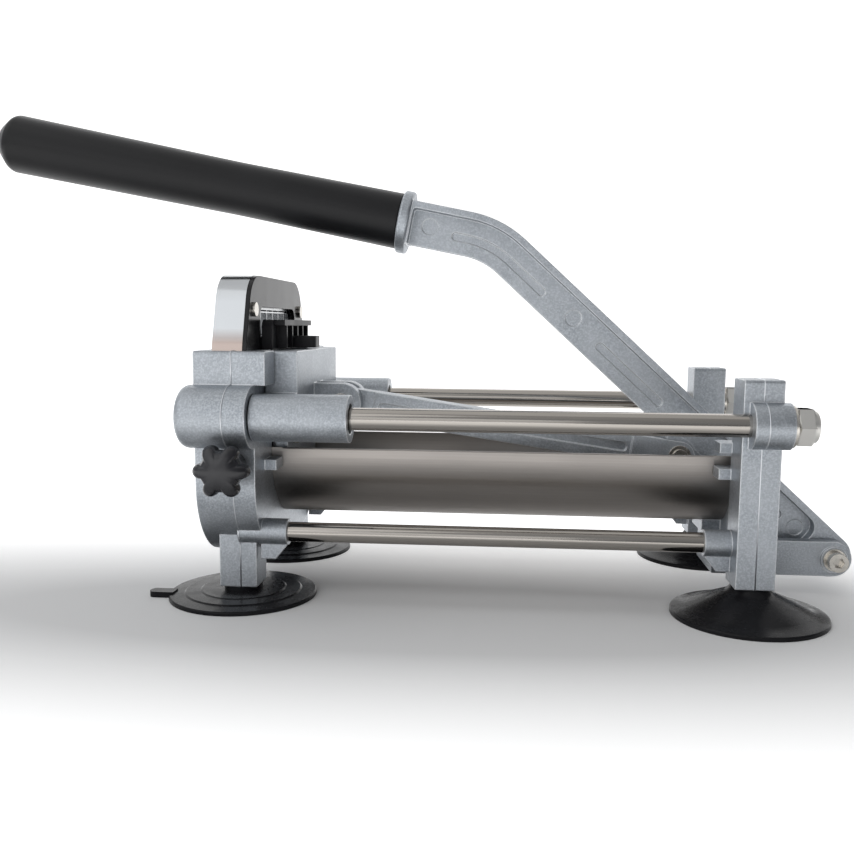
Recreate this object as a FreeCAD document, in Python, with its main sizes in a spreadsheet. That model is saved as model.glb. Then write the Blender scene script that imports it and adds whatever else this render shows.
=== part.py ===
import FreeCAD, Part
import math
import os
import re
import Sketcher
from FreeCAD import Vector

# A lever-operated french fry cutter: two cast frames joined by four rods, a pusher that
# slides on the upper pair, a cranked lever with a link, and a blade cassette.
# X runs from the blade end to the lever end, Y across, Z up. Lengths are millimetres.
# The sizes below are laid out from the rear face of the front frame (x = 0), the centre
# plane (y = 0) and the table top (z = 0).

SIZES = {
    "rods": {
        "rod_spread": 70.0,
        "rod_height": 94.7,
        "rod_radius": 5.5,
        "rod_thread_radius": 5.0,
        "rod_front_depth": 28.0,
        "tie_spread": 54.0,
        "tie_height": 34.8,
        "tie_radius": 5.0,
        "tie_depth": 12.0,
        "tie_seat": 4.0,
        "tie_screw_radius": 3.0,
        "tie_head_radius": 4.6,
        "tie_head_height": 6.0,
        "nut_flat_radius": 8.5,
        "nut_length": 8.5,
        "nut_collar": 2.0,
        "washer_radius": 10.0,
        "washer_thickness": 1.5,
    },
    "front_frame": {
        "frame_half_width": 68.7,
        "front_depth": 30.0,
        "front_top": 126.5,
        "front_bottom": 20.0,
        "front_corner": 41.0,
        "arm_inner": 51.2,
        "block_reach": 5.5,
        "block_bottom": 110.0,
        "front_boss_radius": 15.5,
        "front_boss_reach": 5.5,
        "front_boss_round": 5.0,
        "passage_half_width": 37.2,
        "passage_height": 74.0,
        "front_leg_x": 12.5,
        "front_leg_y": 49.0,
        "front_leg_width": 19.0,
        "front_leg_depth": 18.0,
        "front_leg_bottom": 6.3,
        "tie_boss_radius": 6.6,
        "tie_boss_length": 13.0,
        "lug_length": 6.0,
        "lug_bottom": 65.8,
    },
    "rear_frame": {
        "bed_length": 233.0,
        "post_depth": 18.5,
        "post_inner": 49.0,
        "post_top": 116.0,
        "post_bottom": 15.6,
        "rear_boss_radius": 11.0,
        "rear_boss_front": 3.0,
        "rear_boss_length": 18.0,
        "wall_setback": 5.0,
        "wall_thickness": 9.0,
        "wall_bottom": 24.0,
        "wall_top": 80.0,
        "wall_notch": 33.0,
        "clevis_half_width": 18.0,
        "clevis_gap": 11.6,
        "clevis_height": 18.6,
        "clevis_slot_start": 21.0,
        "clevis_boss_radius": 7.0,
        "clevis_boss_height": 1.5,
        "gusset_drop": 7.3,
        "gusset_thickness": 5.0,
        "seat_width": 24.0,
        "seat_length": 10.0,
    },
    "trough": {
        "trough_wall": 1.0,
        "trough_clearance": 0.4,
        "trough_rim_top": 75.8,
        "hem_height": 4.6,
        "hem_thickness": 1.2,
    },
    "cassette": {
        "cassette_half_width": 62.2,
        "cassette_bottom": 28.4,
        "cassette_top": 164.5,
        "cassette_front": 22.8,
        "cassette_rear": 5.4,
        "cassette_foot_radius": 34.3,
        "cassette_shoulder_width": 50.0,
        "band_thickness": 1.5,
        "cover_thickness": 2.2,
        "slot_clearance": 0.3,
        "window_half_width": 36.9,
        "window_top": 148.4,
        "window_corner": 6.0,
        "ring_thickness": 1.2,
        "blade_pitch": 12.0,
        "blade_thickness": 0.7,
        "blade_depth": 11.0,
        "blade_front": 19.8,
        "cover_screw_y": 48.0,
        "cover_screw_z": 147.0,
        "cover_screw_radius": 2.0,
        "cover_screw_head": 3.6,
    },
    "knobs": {
        "knob_x": 11.2,
        "knob_height": 70.6,
        "knob_radius": 13.5,
        "knob_hub_radius": 8.8,
        "knob_core_radius": 10.4,
        "knob_lobe_radius": 3.7,
        "knob_neck_radius": 7.5,
        "knob_neck_length": 12.0,
        "knob_thickness": 9.0,
        "knob_dome": 2.6,
        "knob_edge": 1.4,
        "knob_gap": 0.9,
        "stud_radius": 4.0,
        "stud_clearance": 0.05,
        "clamp_gap": 0.3,
        "stud_grip": 8.0,
    },
    "pusher": {
        "carriage_front": 0.6,
        "carriage_block_depth": 16.4,
        "carriage_block_half": 50.0,
        "carriage_top": 126.3,
        "carriage_block_bottom": 106.2,
        "sleeve_radius": 11.6,
        "sleeve_length": 47.0,
        "sleeve_bore": 7.5,
        "bush_inner": 5.55,
        "bush_length": 14.0,
        "bush_recess": 2.5,
        "arm_bottom": 88.0,
        "carriage_plate": 7.0,
        "carriage_plate_radius": 33.5,
        "lug_radius": 10.5,
        "lug_outer": 12.0,
        "lug_inner": 4.5,
        "pusher_thickness": 5.4,
        "pusher_half_width": 35.9,
        "pusher_top": 142.0,
        "peg_length": 8.0,
        "peg_gap": 0.8,
        "rib_depth": 5.0,
        "rib_thickness": 2.0,
        "rib_bottom": 127.0,
        "tab_half_width": 7.0,
        "tab_thickness": 6.4,
        "tab_reach": 16.2,
        "tab_bottom": 127.0,
        "pusher_screw_radius": 2.5,
        "pusher_screw_head": 4.2,
        "pusher_screw_y": 20.0,
        "pusher_screw_low": 57.0,
        "pusher_screw_high": 80.0,
    },
    "lever": {
        "pivot_x": 296.0,
        "pivot_z": 19.0,
        "crank_x": 215.5,
        "crank_z": 71.0,
        "yoke_x": 32.3,
        "yoke_z": 97.5,
        "arm_angle": 137.6,
        "handle_angle": 168.9,
        "arm_length_lower": 247.5,
        "arm_length_upper": 45.5,
        "arm_half_depth": 11.4,
        "arm_bend": 48.0,
        "flange_half_width": 11.0,
        "flange_thickness": 3.7,
        "web_half": 4.0,
        "hub_reach": 15.0,
        "pivot_radius": 3.0,
        "pin_clearance": 0.05,
        "crank_eye_radius": 9.5,
        "crank_eye_half": 4.2,
        "crank_pin_radius": 4.0,
        "slot_half": 2.2,
        "slot_depth": 1.2,
        "slot_offset": 2.4,
        "ejector_radius": 4.4,
        "ejector_depth": 0.3,
        "collar_radius": 16.7,
        "collar_length": 5.6,
        "stem_radius": 8.0,
        "stem_length": 150.0,
        "grip_length": 225.5,
        "grip_radius_inner_end": 14.9,
        "grip_waist_radius": 14.1,
        "grip_waist_place": 90.0,
        "grip_end_radius": 15.5,
        "grip_end_round": 5.0,
        "grip_dome": 7.0,
        "grip_dome_flat": 8.5,
        "bolt_head_radius": 5.0,
        "bolt_head_height": 6.0,
        "pivot_nut_radius": 5.0,
        "pivot_nut_length": 6.0,
    },
    "link": {
        "link_half_height": 8.0,
        "link_half_width": 6.0,
        "link_eye_half": 4.1,
        "link_eye_length": 17.0,
        "fork_half_width": 9.0,
        "fork_gap": 4.6,
        "fork_depth": 16.0,
        "fork_length": 26.0,
        "link_groove_half": 2.3,
        "link_groove_depth": 2.0,
        "clip_thickness": 1.2,
        "clip_radius": 6.0,
        "pin_end": 1.2,
        "yoke_pin_radius": 3.0,
        "yoke_pin_gap": 0.35,
        "yoke_head_radius": 5.2,
        "yoke_head_height": 4.0,
    },
    "feet": {
        "cup_radius": 37.6,
        "cup_rim": 2.0,
        "cup_hollow": 1.2,
        "front_cup_height": 3.8,
        "front_cup_step": 30.0,
        "front_neck_radius": 9.7,
        "rear_cup_height": 12.5,
        "rear_neck_radius": 9.0,
        "cup_stud_radius": 4.0,
        "cup_stud_length": 12.0,
        "tab_ear_reach": 9.0,
        "tab_ear_width": 7.0,
    },
}


document = FreeCAD.newDocument("FryCutter")
sheet = document.addObject("Spreadsheet::Sheet", "dims")
sheet_row = 0
for group, values in SIZES.items():
    sheet_row += 1
    sheet.set("A%d" % sheet_row, group)
    for alias, number in values.items():
        sheet_row += 1
        sheet.set("A%d" % sheet_row, alias)
        sheet.set("B%d" % sheet_row, str(number))
        sheet.setAlias("B%d" % sheet_row, alias)
document.recompute()


# Helpers that tie every size to the sheet

def sized(text):
    """The expression with each plain name read from the sheet."""
    return re.sub(r"\b([a-z][a-z_]*)\b(?!\s*\()", r"dims.\1", str(text))


def amount(text):
    """The number that an expression gives now."""
    return float(sheet.evalExpression(sized(text)))


def bind(item, prop, text):
    item.setExpression(prop, sized(text))


# The whole machine is moved along X so that its origin is under the middle of its box.
ALONG_ARM = ("cos(arm_angle)", "sin(arm_angle)")
ALONG_HANDLE = ("cos(handle_angle)", "sin(handle_angle)")
HANDLE_END = "(collar_length + grip_length)"


def arm_point(distance, offset="0"):
    """A place on the lever's lower arm: distance from the pivot, offset towards the flange."""
    return (
        "pivot_x + (%s) * cos(arm_angle) + (%s) * sin(arm_angle)" % (distance, offset),
        "pivot_z + (%s) * sin(arm_angle) - (%s) * cos(arm_angle)" % (distance, offset),
    )


def handle_point(distance, offset="0"):
    """A place along the handle: distance past the collar's inner face, offset upwards."""
    reach = "(arm_length_upper + (%s))" % distance
    return (
        "pivot_x + arm_length_lower * cos(arm_angle) + %s * cos(handle_angle)"
        " + (%s) * sin(handle_angle)" % (reach, offset),
        "pivot_z + arm_length_lower * sin(arm_angle) + %s * sin(handle_angle)"
        " - (%s) * cos(handle_angle)" % (reach, offset),
    )


def bend_point(offset):
    """The corner where an edge of the arm turns into the same edge of the handle part."""
    spread = "(%s) / cos((handle_angle - arm_angle) / 2)" % offset
    return (
        "pivot_x + arm_length_lower * cos(arm_angle)"
        " + %s * sin((arm_angle + handle_angle) / 2)" % spread,
        "pivot_z + arm_length_lower * sin(arm_angle)"
        " - %s * cos((arm_angle + handle_angle) / 2)" % spread,
    )


LEFT_END = "(%s)" % handle_point(HANDLE_END, "-grip_dome_flat / 2")[0]
RIGHT_END = "(pivot_x + arm_half_depth)"
CENTRE_X = "(%s + %s) / 2" % (LEFT_END, RIGHT_END)


def place(item, along="0"):
    """Put a finished piece where it stands in the whole machine's own frame."""
    bind(item, "Placement.Base.x", "%s - (%s)" % (along, CENTRE_X))


def new_body(name):
    body = document.addObject("PartDesign::Body", name)
    body.Label = name
    place(body)
    return body


def sketch_on(body, plane, offset=None):
    """An empty sketch on one of the body's own origin planes, moved along its normal."""
    sketch = body.newObject("Sketcher::SketchObject", body.Name + "_sketch")
    support = [item for item in body.Origin.OriginFeatures if item.Role == plane][0]
    sketch.AttachmentSupport = [(support, "")]
    sketch.MapMode = "FlatFace"
    if offset is not None:
        bind(sketch, "AttachmentOffset.Base.z", offset)
    return sketch


def pin_point(sketch, geometry, end, x, y):
    first = sketch.addConstraint(
        Sketcher.Constraint("DistanceX", -1, 1, geometry, end, amount(x)))
    second = sketch.addConstraint(
        Sketcher.Constraint("DistanceY", -1, 1, geometry, end, amount(y)))
    bind(sketch, "Constraints[%d]" % first, x)
    bind(sketch, "Constraints[%d]" % second, y)


def outline(sketch, corners):
    """A closed outline through corners (x, y) or (x, y, radius) given as expressions."""
    count = len(corners)
    points = [Vector(amount(c[0]), amount(c[1]), 0) for c in corners]
    radii = [amount(c[2]) if len(c) > 2 else 0.0 for c in corners]
    entries = []
    for i in range(count):
        before = (points[i - 1] - points[i]).normalize()
        after = (points[(i + 1) % count] - points[i]).normalize()
        half_angle = before.getAngle(after) / 2
        back = radii[i] / math.tan(half_angle) if radii[i] else 0.0
        entries.append((points[i] + before * back, points[i] + after * back, half_angle))
    lines = []
    for i in range(count):
        start = entries[i][1]
        finish = entries[(i + 1) % count][0]
        lines.append(sketch.addGeometry(Part.LineSegment(start, finish), False))
    for i in range(count):
        line_in = lines[i - 1]
        line_out = lines[i]
        if not radii[i]:
            sketch.addConstraint(Sketcher.Constraint("Coincident", line_in, 2, line_out, 1))
            pin_point(sketch, line_out, 1, corners[i][0], corners[i][1])
            continue
        arrive, leave, half_angle = entries[i]
        toward = ((arrive - points[i]) + (leave - points[i])).normalize()
        centre = points[i] + toward * (radii[i] / math.sin(half_angle))
        turns_left = (points[i] - arrive).cross(leave - points[i]).z > 0
        first, second = (arrive, leave) if turns_left else (leave, arrive)
        angle_one = math.atan2(first.y - centre.y, first.x - centre.x)
        angle_two = math.atan2(second.y - centre.y, second.x - centre.x)
        circle = Part.Circle(centre, Vector(0, 0, 1), radii[i])
        arc = sketch.addGeometry(Part.ArcOfCircle(circle, angle_one, angle_two), False)
        corner = sketch.addGeometry(Part.Point(points[i]), True)
        pin_point(sketch, corner, 1, corners[i][0], corners[i][1])
        sketch.addConstraint(Sketcher.Constraint("PointOnObject", corner, 1, line_in))
        sketch.addConstraint(Sketcher.Constraint("PointOnObject", corner, 1, line_out))
        ends = (1, 2) if turns_left else (2, 1)
        sketch.addConstraint(Sketcher.Constraint("Tangent", line_in, 2, arc, ends[0]))
        sketch.addConstraint(Sketcher.Constraint("Tangent", line_out, 1, arc, ends[1]))
        size = sketch.addConstraint(Sketcher.Constraint("Radius", arc, radii[i]))
        bind(sketch, "Constraints[%d]" % size, corners[i][2])


def ring(sketch, x, y, radius):
    circle = Part.Circle(Vector(amount(x), amount(y), 0), Vector(0, 0, 1), amount(radius))
    item = sketch.addGeometry(circle, False)
    pin_point(sketch, item, 3, x, y)
    size = sketch.addConstraint(Sketcher.Constraint("Radius", item, amount(radius)))
    bind(sketch, "Constraints[%d]" % size, radius)


def rectangle(sketch, x_low, x_high, y_low, y_high):
    outline(sketch, [(x_low, y_low), (x_high, y_low), (x_high, y_high), (x_low, y_high)])


def pad(body, sketch, length, both_ways=False, backwards=False):
    """Material from the sketch, along its plane's normal or split evenly about it."""
    feature = body.newObject("PartDesign::Pad", body.Name + "_pad")
    feature.Profile = sketch
    bind(feature, "Length", length)
    if both_ways:
        feature.SideType = "Symmetric"
    feature.Reversed = backwards
    document.recompute()
    return feature


def cut(body, sketch, length, both_ways=False, backwards=False):
    """A pocket against the plane's normal, or split evenly about it; it has to remove some."""
    volume = body.Shape.Volume
    feature = body.newObject("PartDesign::Pocket", body.Name + "_pocket")
    feature.Profile = sketch
    bind(feature, "Length", length)
    if both_ways:
        feature.SideType = "Symmetric"
    feature.Reversed = backwards
    document.recompute()
    if not body.Shape.Volume < volume - 0.01:
        raise ValueError(body.Name + ": a pocket removes nothing")
    return feature


def cut_sides(body, corners_or_ring, outer, inner):
    """The same recess from both sides, from outer to inner half width, about the XZ plane."""
    for side in (1, -1):
        sketch = sketch_on(body, "XZ_Plane", "%d * (%s)" % (side, outer))
        if len(corners_or_ring) == 1:
            ring(sketch, *corners_or_ring[0])
        else:
            outline(sketch, corners_or_ring)
        cut(body, sketch, "(%s) - (%s)" % (outer, inner), backwards=side < 0)


def revolve(body, sketch, axis_name, subtract=False):
    kind = "PartDesign::Groove" if subtract else "PartDesign::Revolution"
    feature = body.newObject(kind, body.Name + "_turned")
    feature.Profile = sketch
    feature.ReferenceAxis = (sketch, [axis_name])
    feature.Angle = 360
    document.recompute()
    return feature


def round_edges(body, radius, chosen):
    """A fillet on the edges of the body that the test picks."""
    base = body.Tip
    names = ["Edge%d" % (i + 1) for i, edge in enumerate(base.Shape.Edges) if chosen(edge)]
    if not names:
        raise ValueError(body.Name + ": no edge to round")
    feature = body.newObject("PartDesign::Fillet", body.Name + "_round")
    feature.Base = (base, names)
    bind(feature, "Radius", radius)
    document.recompute()
    return feature


def rod_along_x(name, start, finish, y, z, radius):
    """A plain round bar along X, as a primitive."""
    item = document.addObject("Part::Cylinder", name)
    item.Placement.Rotation = FreeCAD.Rotation(Vector(0, 1, 0), 90)
    bind(item, "Radius", radius)
    bind(item, "Height", "(%s) - (%s)" % (finish, start))
    bind(item, "Placement.Base.x", start)
    bind(item, "Placement.Base.y", y)
    bind(item, "Placement.Base.z", z)
    return item


def rod_along_y(name, start, finish, x, z, radius):
    """A plain round bar along Y, as a primitive."""
    item = document.addObject("Part::Cylinder", name)
    item.Placement.Rotation = FreeCAD.Rotation(Vector(1, 0, 0), -90)
    bind(item, "Radius", radius)
    bind(item, "Height", "(%s) - (%s)" % (finish, start))
    bind(item, "Placement.Base.x", x)
    bind(item, "Placement.Base.y", start)
    bind(item, "Placement.Base.z", z)
    return item


def hexagon_along(name, axis, start, finish, across, height, flat_radius):
    """A hexagonal bar along X or Y with a flat to the top."""
    item = document.addObject("Part::Prism", name)
    item.Polygon = 6
    if axis == "x":
        item.Placement.Rotation = FreeCAD.Rotation(Vector(0, 1, 0), 90)
        bind(item, "Placement.Base.x", start)
        bind(item, "Placement.Base.y", across)
    else:
        item.Placement.Rotation = FreeCAD.Rotation(Vector(1, 0, 0), -90)
        bind(item, "Placement.Base.x", across)
        bind(item, "Placement.Base.y", start)
    bind(item, "Circumradius", "(%s) / cos(30)" % flat_radius)
    bind(item, "Height", "(%s) - (%s)" % (finish, start))
    bind(item, "Placement.Base.z", height)
    return item


def box_between(name, x_low, x_high, y_low, y_high, z_low, z_high):
    item = document.addObject("Part::Box", name)
    bind(item, "Length", "(%s) - (%s)" % (x_high, x_low))
    bind(item, "Width", "(%s) - (%s)" % (y_high, y_low))
    bind(item, "Height", "(%s) - (%s)" % (z_high, z_low))
    bind(item, "Placement.Base.x", x_low)
    bind(item, "Placement.Base.y", y_low)
    bind(item, "Placement.Base.z", z_low)
    return item


def fused(name, items):
    item = document.addObject("Part::MultiFuse", name)
    item.Shapes = items
    return item


def without(name, base, tool):
    item = document.addObject("Part::Cut", name)
    item.Base = base
    item.Tool = tool
    return item


def gathered(name, items):
    """Separate solids that make one node, such as a set of like fasteners."""
    item = document.addObject("Part::Compound", name)
    item.Links = items
    item.Label = name
    place(item)
    return item


def finished(item, name, along="0"):
    item.Label = name
    place(item, along)
    return item


def at_x(edge, place_x):
    box = edge.BoundBox
    return abs(box.XMin - place_x) < 0.01 and abs(box.XMax - place_x) < 0.01


def level_at(edge, place_y):
    box = edge.BoundBox
    return abs(box.YMin - place_y) < 0.01 and abs(box.YMax - place_y) < 0.01


def is_circle(edge, radius):
    return hasattr(edge.Curve, "Radius") and abs(edge.Curve.Radius - radius) < 0.01


# Places that several pieces share

REAR_FACE = "bed_length"
POST_BACK = "(bed_length + post_depth)"
WALL_FACE = "(bed_length + wall_setback)"
REAR_BOSS_START = "(bed_length + rear_boss_front)"
REAR_BOSS_END = "(bed_length + rear_boss_front + rear_boss_length)"
REAR_LEG_X = "(bed_length + post_depth / 2)"
REAR_LEG_Y = "((frame_half_width + post_inner) / 2)"
TROUGH_OUTER = "(passage_half_width + trough_wall)"
CUP_STUD_TOP = "cup_stud_length"


def front_frame():
    body = new_body("front_frame")
    # The U-shaped body, as deep as the cassette slot and its two walls
    sketch = sketch_on(body, "YZ_Plane", "-front_depth")
    outline(sketch, [
        ("-frame_half_width", "front_top", "2"),
        ("-frame_half_width", "front_bottom", "front_corner"),
        ("frame_half_width", "front_bottom", "front_corner"),
        ("frame_half_width", "front_top", "2"),
    ])
    pad(body, sketch, "front_depth")
    # Upper blocks that reach back past the rear face on both sides of the pusher
    for side in ("", "-"):
        sketch = sketch_on(body, "YZ_Plane", "-front_depth / 2")
        inner = side + "arm_inner"
        outer = side + "frame_half_width"
        outline(sketch, [(inner, "block_bottom"), (outer, "block_bottom"),
                         (outer, "front_top", "2"), (inner, "front_top")])
        pad(body, sketch, "front_depth / 2 + block_reach")
    # Rod bosses with a rounded nose
    sketch = sketch_on(body, "YZ_Plane", "-front_depth - front_boss_reach")
    for side in ("", "-"):
        ring(sketch, side + "rod_spread", "rod_height", "front_boss_radius")
    pad(body, sketch, "front_depth + front_boss_reach")
    nose = -amount("front_depth + front_boss_reach")
    boss_radius = amount("front_boss_radius")
    round_edges(body, "front_boss_round", lambda e: at_x(e, nose) and is_circle(e, boss_radius))
    # Legs
    sketch = sketch_on(body, "XY_Plane", "front_leg_bottom")
    for side in (1, -1):
        low = "%d * front_leg_y - front_leg_depth / 2" % side
        high = "%d * front_leg_y + front_leg_depth / 2" % side
        rectangle(sketch, "-front_leg_x - front_leg_width / 2",
                  "-front_leg_x + front_leg_width / 2", low, high)
    pad(body, sketch, "tie_height - front_leg_bottom")
    # Bosses for the tie rods
    sketch = sketch_on(body, "YZ_Plane", "-tie_depth")
    for side in ("", "-"):
        ring(sketch, side + "tie_spread", "tie_height", "tie_boss_radius")
    pad(body, sketch, "tie_boss_length + tie_depth")
    for side in (1, -1):
        sketch = sketch_on(body, "XZ_Plane", "%d * tie_spread" % side)
        low = "tie_height - tie_boss_radius - gusset_drop"
        high = "tie_height - tie_boss_radius + 0.8"
        outline(sketch, [("-1", low), ("tie_boss_length / 2", low),
                         ("tie_boss_length", high), ("-1", high)])
        pad(body, sketch, "gusset_thickness", both_ways=True)
    # Lugs that hold the trough's rim
    for side in (1, -1):
        sketch = sketch_on(body, "YZ_Plane", "-1")
        near = "%d * (passage_half_width + trough_wall + trough_clearance)" % side
        far = "%d * arm_inner" % side
        rectangle(sketch, near, far, "lug_bottom", "trough_rim_top - hem_height")
        pad(body, sketch, "lug_length + 1")
    # Potato passage, open at the top
    sketch = sketch_on(body, "YZ_Plane", "block_reach")
    outline(sketch, [
        ("-passage_half_width", "front_top + 10"),
        ("-passage_half_width", "passage_height - passage_half_width", "passage_half_width - 0.05"),
        ("passage_half_width", "passage_height - passage_half_width", "passage_half_width - 0.05"),
        ("passage_half_width", "front_top + 10"),
    ])
    cut(body, sketch, "front_depth + front_boss_reach + 2 * block_reach")
    # Slot for the blade cassette
    sketch = sketch_on(body, "YZ_Plane", "-cassette_rear + slot_clearance")
    wide = "cassette_half_width + slot_clearance"
    low = "cassette_bottom"
    outline(sketch, [
        ("-(%s)" % wide, "front_top + 10"),
        ("-(%s)" % wide, low, "cassette_foot_radius + slot_clearance"),
        (wide, low, "cassette_foot_radius + slot_clearance"),
        (wide, "front_top + 10"),
    ])
    cut(body, sketch, "cassette_front - cassette_rear + 2 * slot_clearance")
    # Blind bores for the upper rods, and stepped ones for the tie rods and their screws
    sketch = sketch_on(body, "YZ_Plane")
    for side in ("", "-"):
        ring(sketch, side + "rod_spread", "rod_height", "rod_radius")
    cut(body, sketch, "rod_front_depth")
    sketch = sketch_on(body, "YZ_Plane", "tie_boss_length")
    for side in ("", "-"):
        ring(sketch, side + "tie_spread", "tie_height", "tie_radius")
    cut(body, sketch, "tie_boss_length + tie_seat")
    # Holes for the clamp studs
    sketch = sketch_on(body, "XZ_Plane")
    ring(sketch, "-knob_x", "knob_height", "stud_radius + stud_clearance")
    cut(body, sketch, "2 * frame_half_width + 10", both_ways=True)
    # Holes for the feet
    sketch = sketch_on(body, "XY_Plane")
    for side in ("", "-"):
        ring(sketch, "-front_leg_x", side + "front_leg_y", "cup_stud_radius")
    cut(body, sketch, "front_leg_bottom + cup_stud_length", backwards=True)
    return body


def rear_frame():
    body = new_body("rear_frame")
    # Two posts
    sketch = sketch_on(body, "YZ_Plane", REAR_FACE)
    for side in ("", "-"):
        inner = side + "post_inner"
        outer = side + "frame_half_width"
        outline(sketch, [(inner, "post_bottom"), (outer, "post_bottom"),
                         (outer, "post_top", "1.5"), (inner, "post_top", "1.5")])
    pad(body, sketch, "post_depth")
    # The wall between them, notched for the lever
    sketch = sketch_on(body, "YZ_Plane", WALL_FACE)
    edge = "(post_inner + 1)"
    outline(sketch, [
        ("-" + edge, "wall_bottom"),
        (edge, "wall_bottom"),
        (edge, "wall_top"),
        ("wall_notch", "wall_top", "3"),
        ("wall_notch", "passage_height - wall_notch", "wall_notch - 0.05"),
        ("-wall_notch", "passage_height - wall_notch", "wall_notch - 0.05"),
        ("-wall_notch", "wall_top", "3"),
        ("-" + edge, "wall_top"),
    ])
    pad(body, sketch, "wall_thickness")
    # Clevis arms, made as one block and then slotted
    sketch = sketch_on(body, "XZ_Plane")
    low = "pivot_z - clevis_height / 2"
    high = "pivot_z + clevis_height / 2"
    outline(sketch, [
        ("bed_length - 0.5", low, "1"),
        ("pivot_x + clevis_height / 2", low, "clevis_height / 2 - 0.05"),
        ("pivot_x + clevis_height / 2", high, "clevis_height / 2 - 0.05"),
        ("bed_length - 0.5", high, "1"),
    ])
    pad(body, sketch, "2 * clevis_half_width", both_ways=True)
    sketch = sketch_on(body, "XZ_Plane")
    ring(sketch, "pivot_x", "pivot_z", "clevis_boss_radius")
    pad(body, sketch, "2 * (clevis_half_width + clevis_boss_height)", both_ways=True)
    sketch = sketch_on(body, "XZ_Plane")
    outline(sketch, [
        ("bed_length + clevis_slot_start", "pivot_z - clevis_height", "3"),
        ("pivot_x + clevis_height", "pivot_z - clevis_height"),
        ("pivot_x + clevis_height", "pivot_z + clevis_height"),
        ("bed_length + clevis_slot_start", "pivot_z + clevis_height", "3"),
    ])
    cut(body, sketch, "2 * clevis_gap", both_ways=True)
    sketch = sketch_on(body, "XZ_Plane")
    ring(sketch, "pivot_x", "pivot_z", "pivot_radius")
    cut(body, sketch, "2 * (clevis_half_width + clevis_boss_height) + 2", both_ways=True)
    # Rod bosses, half sunk in the posts
    sketch = sketch_on(body, "YZ_Plane", REAR_BOSS_START)
    for side in ("", "-"):
        ring(sketch, side + "rod_spread", "rod_height", "rear_boss_radius")
    pad(body, sketch, "rear_boss_length")
    sketch = sketch_on(body, "YZ_Plane", REAR_BOSS_END)
    for side in ("", "-"):
        ring(sketch, side + "rod_spread", "rod_height", "rod_thread_radius")
    cut(body, sketch, "rear_boss_front + rear_boss_length")
    sketch = sketch_on(body, "YZ_Plane", REAR_BOSS_START)
    for side in ("", "-"):
        ring(sketch, side + "rod_spread", "rod_height", "rod_radius")
    cut(body, sketch, "rear_boss_front + 1")
    # Bosses and gussets for the tie rods
    sketch = sketch_on(body, "YZ_Plane", "bed_length - tie_boss_length")
    for side in ("", "-"):
        ring(sketch, side + "tie_spread", "tie_height", "tie_boss_radius")
    pad(body, sketch, "tie_boss_length + wall_setback")
    for side in (1, -1):
        sketch = sketch_on(body, "XZ_Plane", "%d * tie_spread" % side)
        outline(sketch, [
            ("bed_length + 1", "tie_height - tie_boss_radius - gusset_drop"),
            ("bed_length + 1", "tie_height - tie_boss_radius + 0.8"),
            ("bed_length - tie_boss_length", "tie_height - tie_boss_radius + 0.8"),
            ("bed_length - tie_boss_length / 2", "tie_height - tie_boss_radius - gusset_drop"),
        ])
        pad(body, sketch, "gusset_thickness", both_ways=True)
    sketch = sketch_on(body, "YZ_Plane", "bed_length + wall_setback")
    for side in ("", "-"):
        ring(sketch, side + "tie_spread", "tie_height", "tie_radius")
    cut(body, sketch, "tie_boss_length + wall_setback")
    # Lugs below and above the trough's rim
    for side in (1, -1):
        sketch = sketch_on(body, "YZ_Plane", "bed_length - lug_length")
        near = "%d * (passage_half_width + trough_wall + trough_clearance)" % side
        far = "%d * (post_inner + 2)" % side
        rectangle(sketch, near, far, "lug_bottom", "trough_rim_top - hem_height")
        pad(body, sketch, "lug_length + wall_setback + 1")
        sketch = sketch_on(body, "YZ_Plane", "bed_length - lug_length")
        rectangle(sketch, near, far, "wall_top - 1", "wall_top + 4")
        pad(body, sketch, "lug_length + wall_setback + 2")
    # Seat under the trough's end, hollowed to its radius
    sketch = sketch_on(body, "YZ_Plane", "bed_length + wall_setback - seat_length")
    rectangle(sketch, "-seat_width / 2", "seat_width / 2", "passage_height - %s - 5" % TROUGH_OUTER,
              "passage_height - %s + 4" % TROUGH_OUTER)
    pad(body, sketch, "seat_length + 1")
    sketch = sketch_on(body, "YZ_Plane", WALL_FACE)
    ring(sketch, "0", "passage_height", TROUGH_OUTER + " + trough_clearance / 4")
    cut(body, sketch, "seat_length + lug_length")
    # Holes for the feet
    sketch = sketch_on(body, "XY_Plane", "post_bottom")
    for side in ("", "-"):
        ring(sketch, REAR_LEG_X, side + REAR_LEG_Y, "cup_stud_radius")
    cut(body, sketch, CUP_STUD_TOP, backwards=True)
    # Screw holes for the tie rods, with room for the heads
    sketch = sketch_on(body, "YZ_Plane", POST_BACK)
    for side in ("", "-"):
        ring(sketch, side + "tie_spread", "tie_height", "tie_screw_radius")
    cut(body, sketch, "post_depth")
    sketch = sketch_on(body, "YZ_Plane", POST_BACK)
    for side in ("", "-"):
        ring(sketch, side + "tie_spread", "tie_height", "tie_head_radius")
    cut(body, sketch, "tie_head_height")
    return body


def upper_rod(name, side):
    main = rod_along_x(name + "_shank", "-rod_front_depth", REAR_BOSS_START,
                       side + "rod_spread", "rod_height", "rod_radius")
    end = rod_along_x(name + "_end", REAR_BOSS_START,
                      REAR_BOSS_END + " + washer_thickness + nut_length + nut_collar / 2",
                      side + "rod_spread", "rod_height", "rod_thread_radius")
    return finished(fused(name, [main, end]), name)


def tie_rod(name, side):
    start = "-tie_seat"
    rod = rod_along_x(name, start, WALL_FACE, side + "tie_spread", "tie_height", "tie_radius")
    return finished(rod, name, start)


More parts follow.
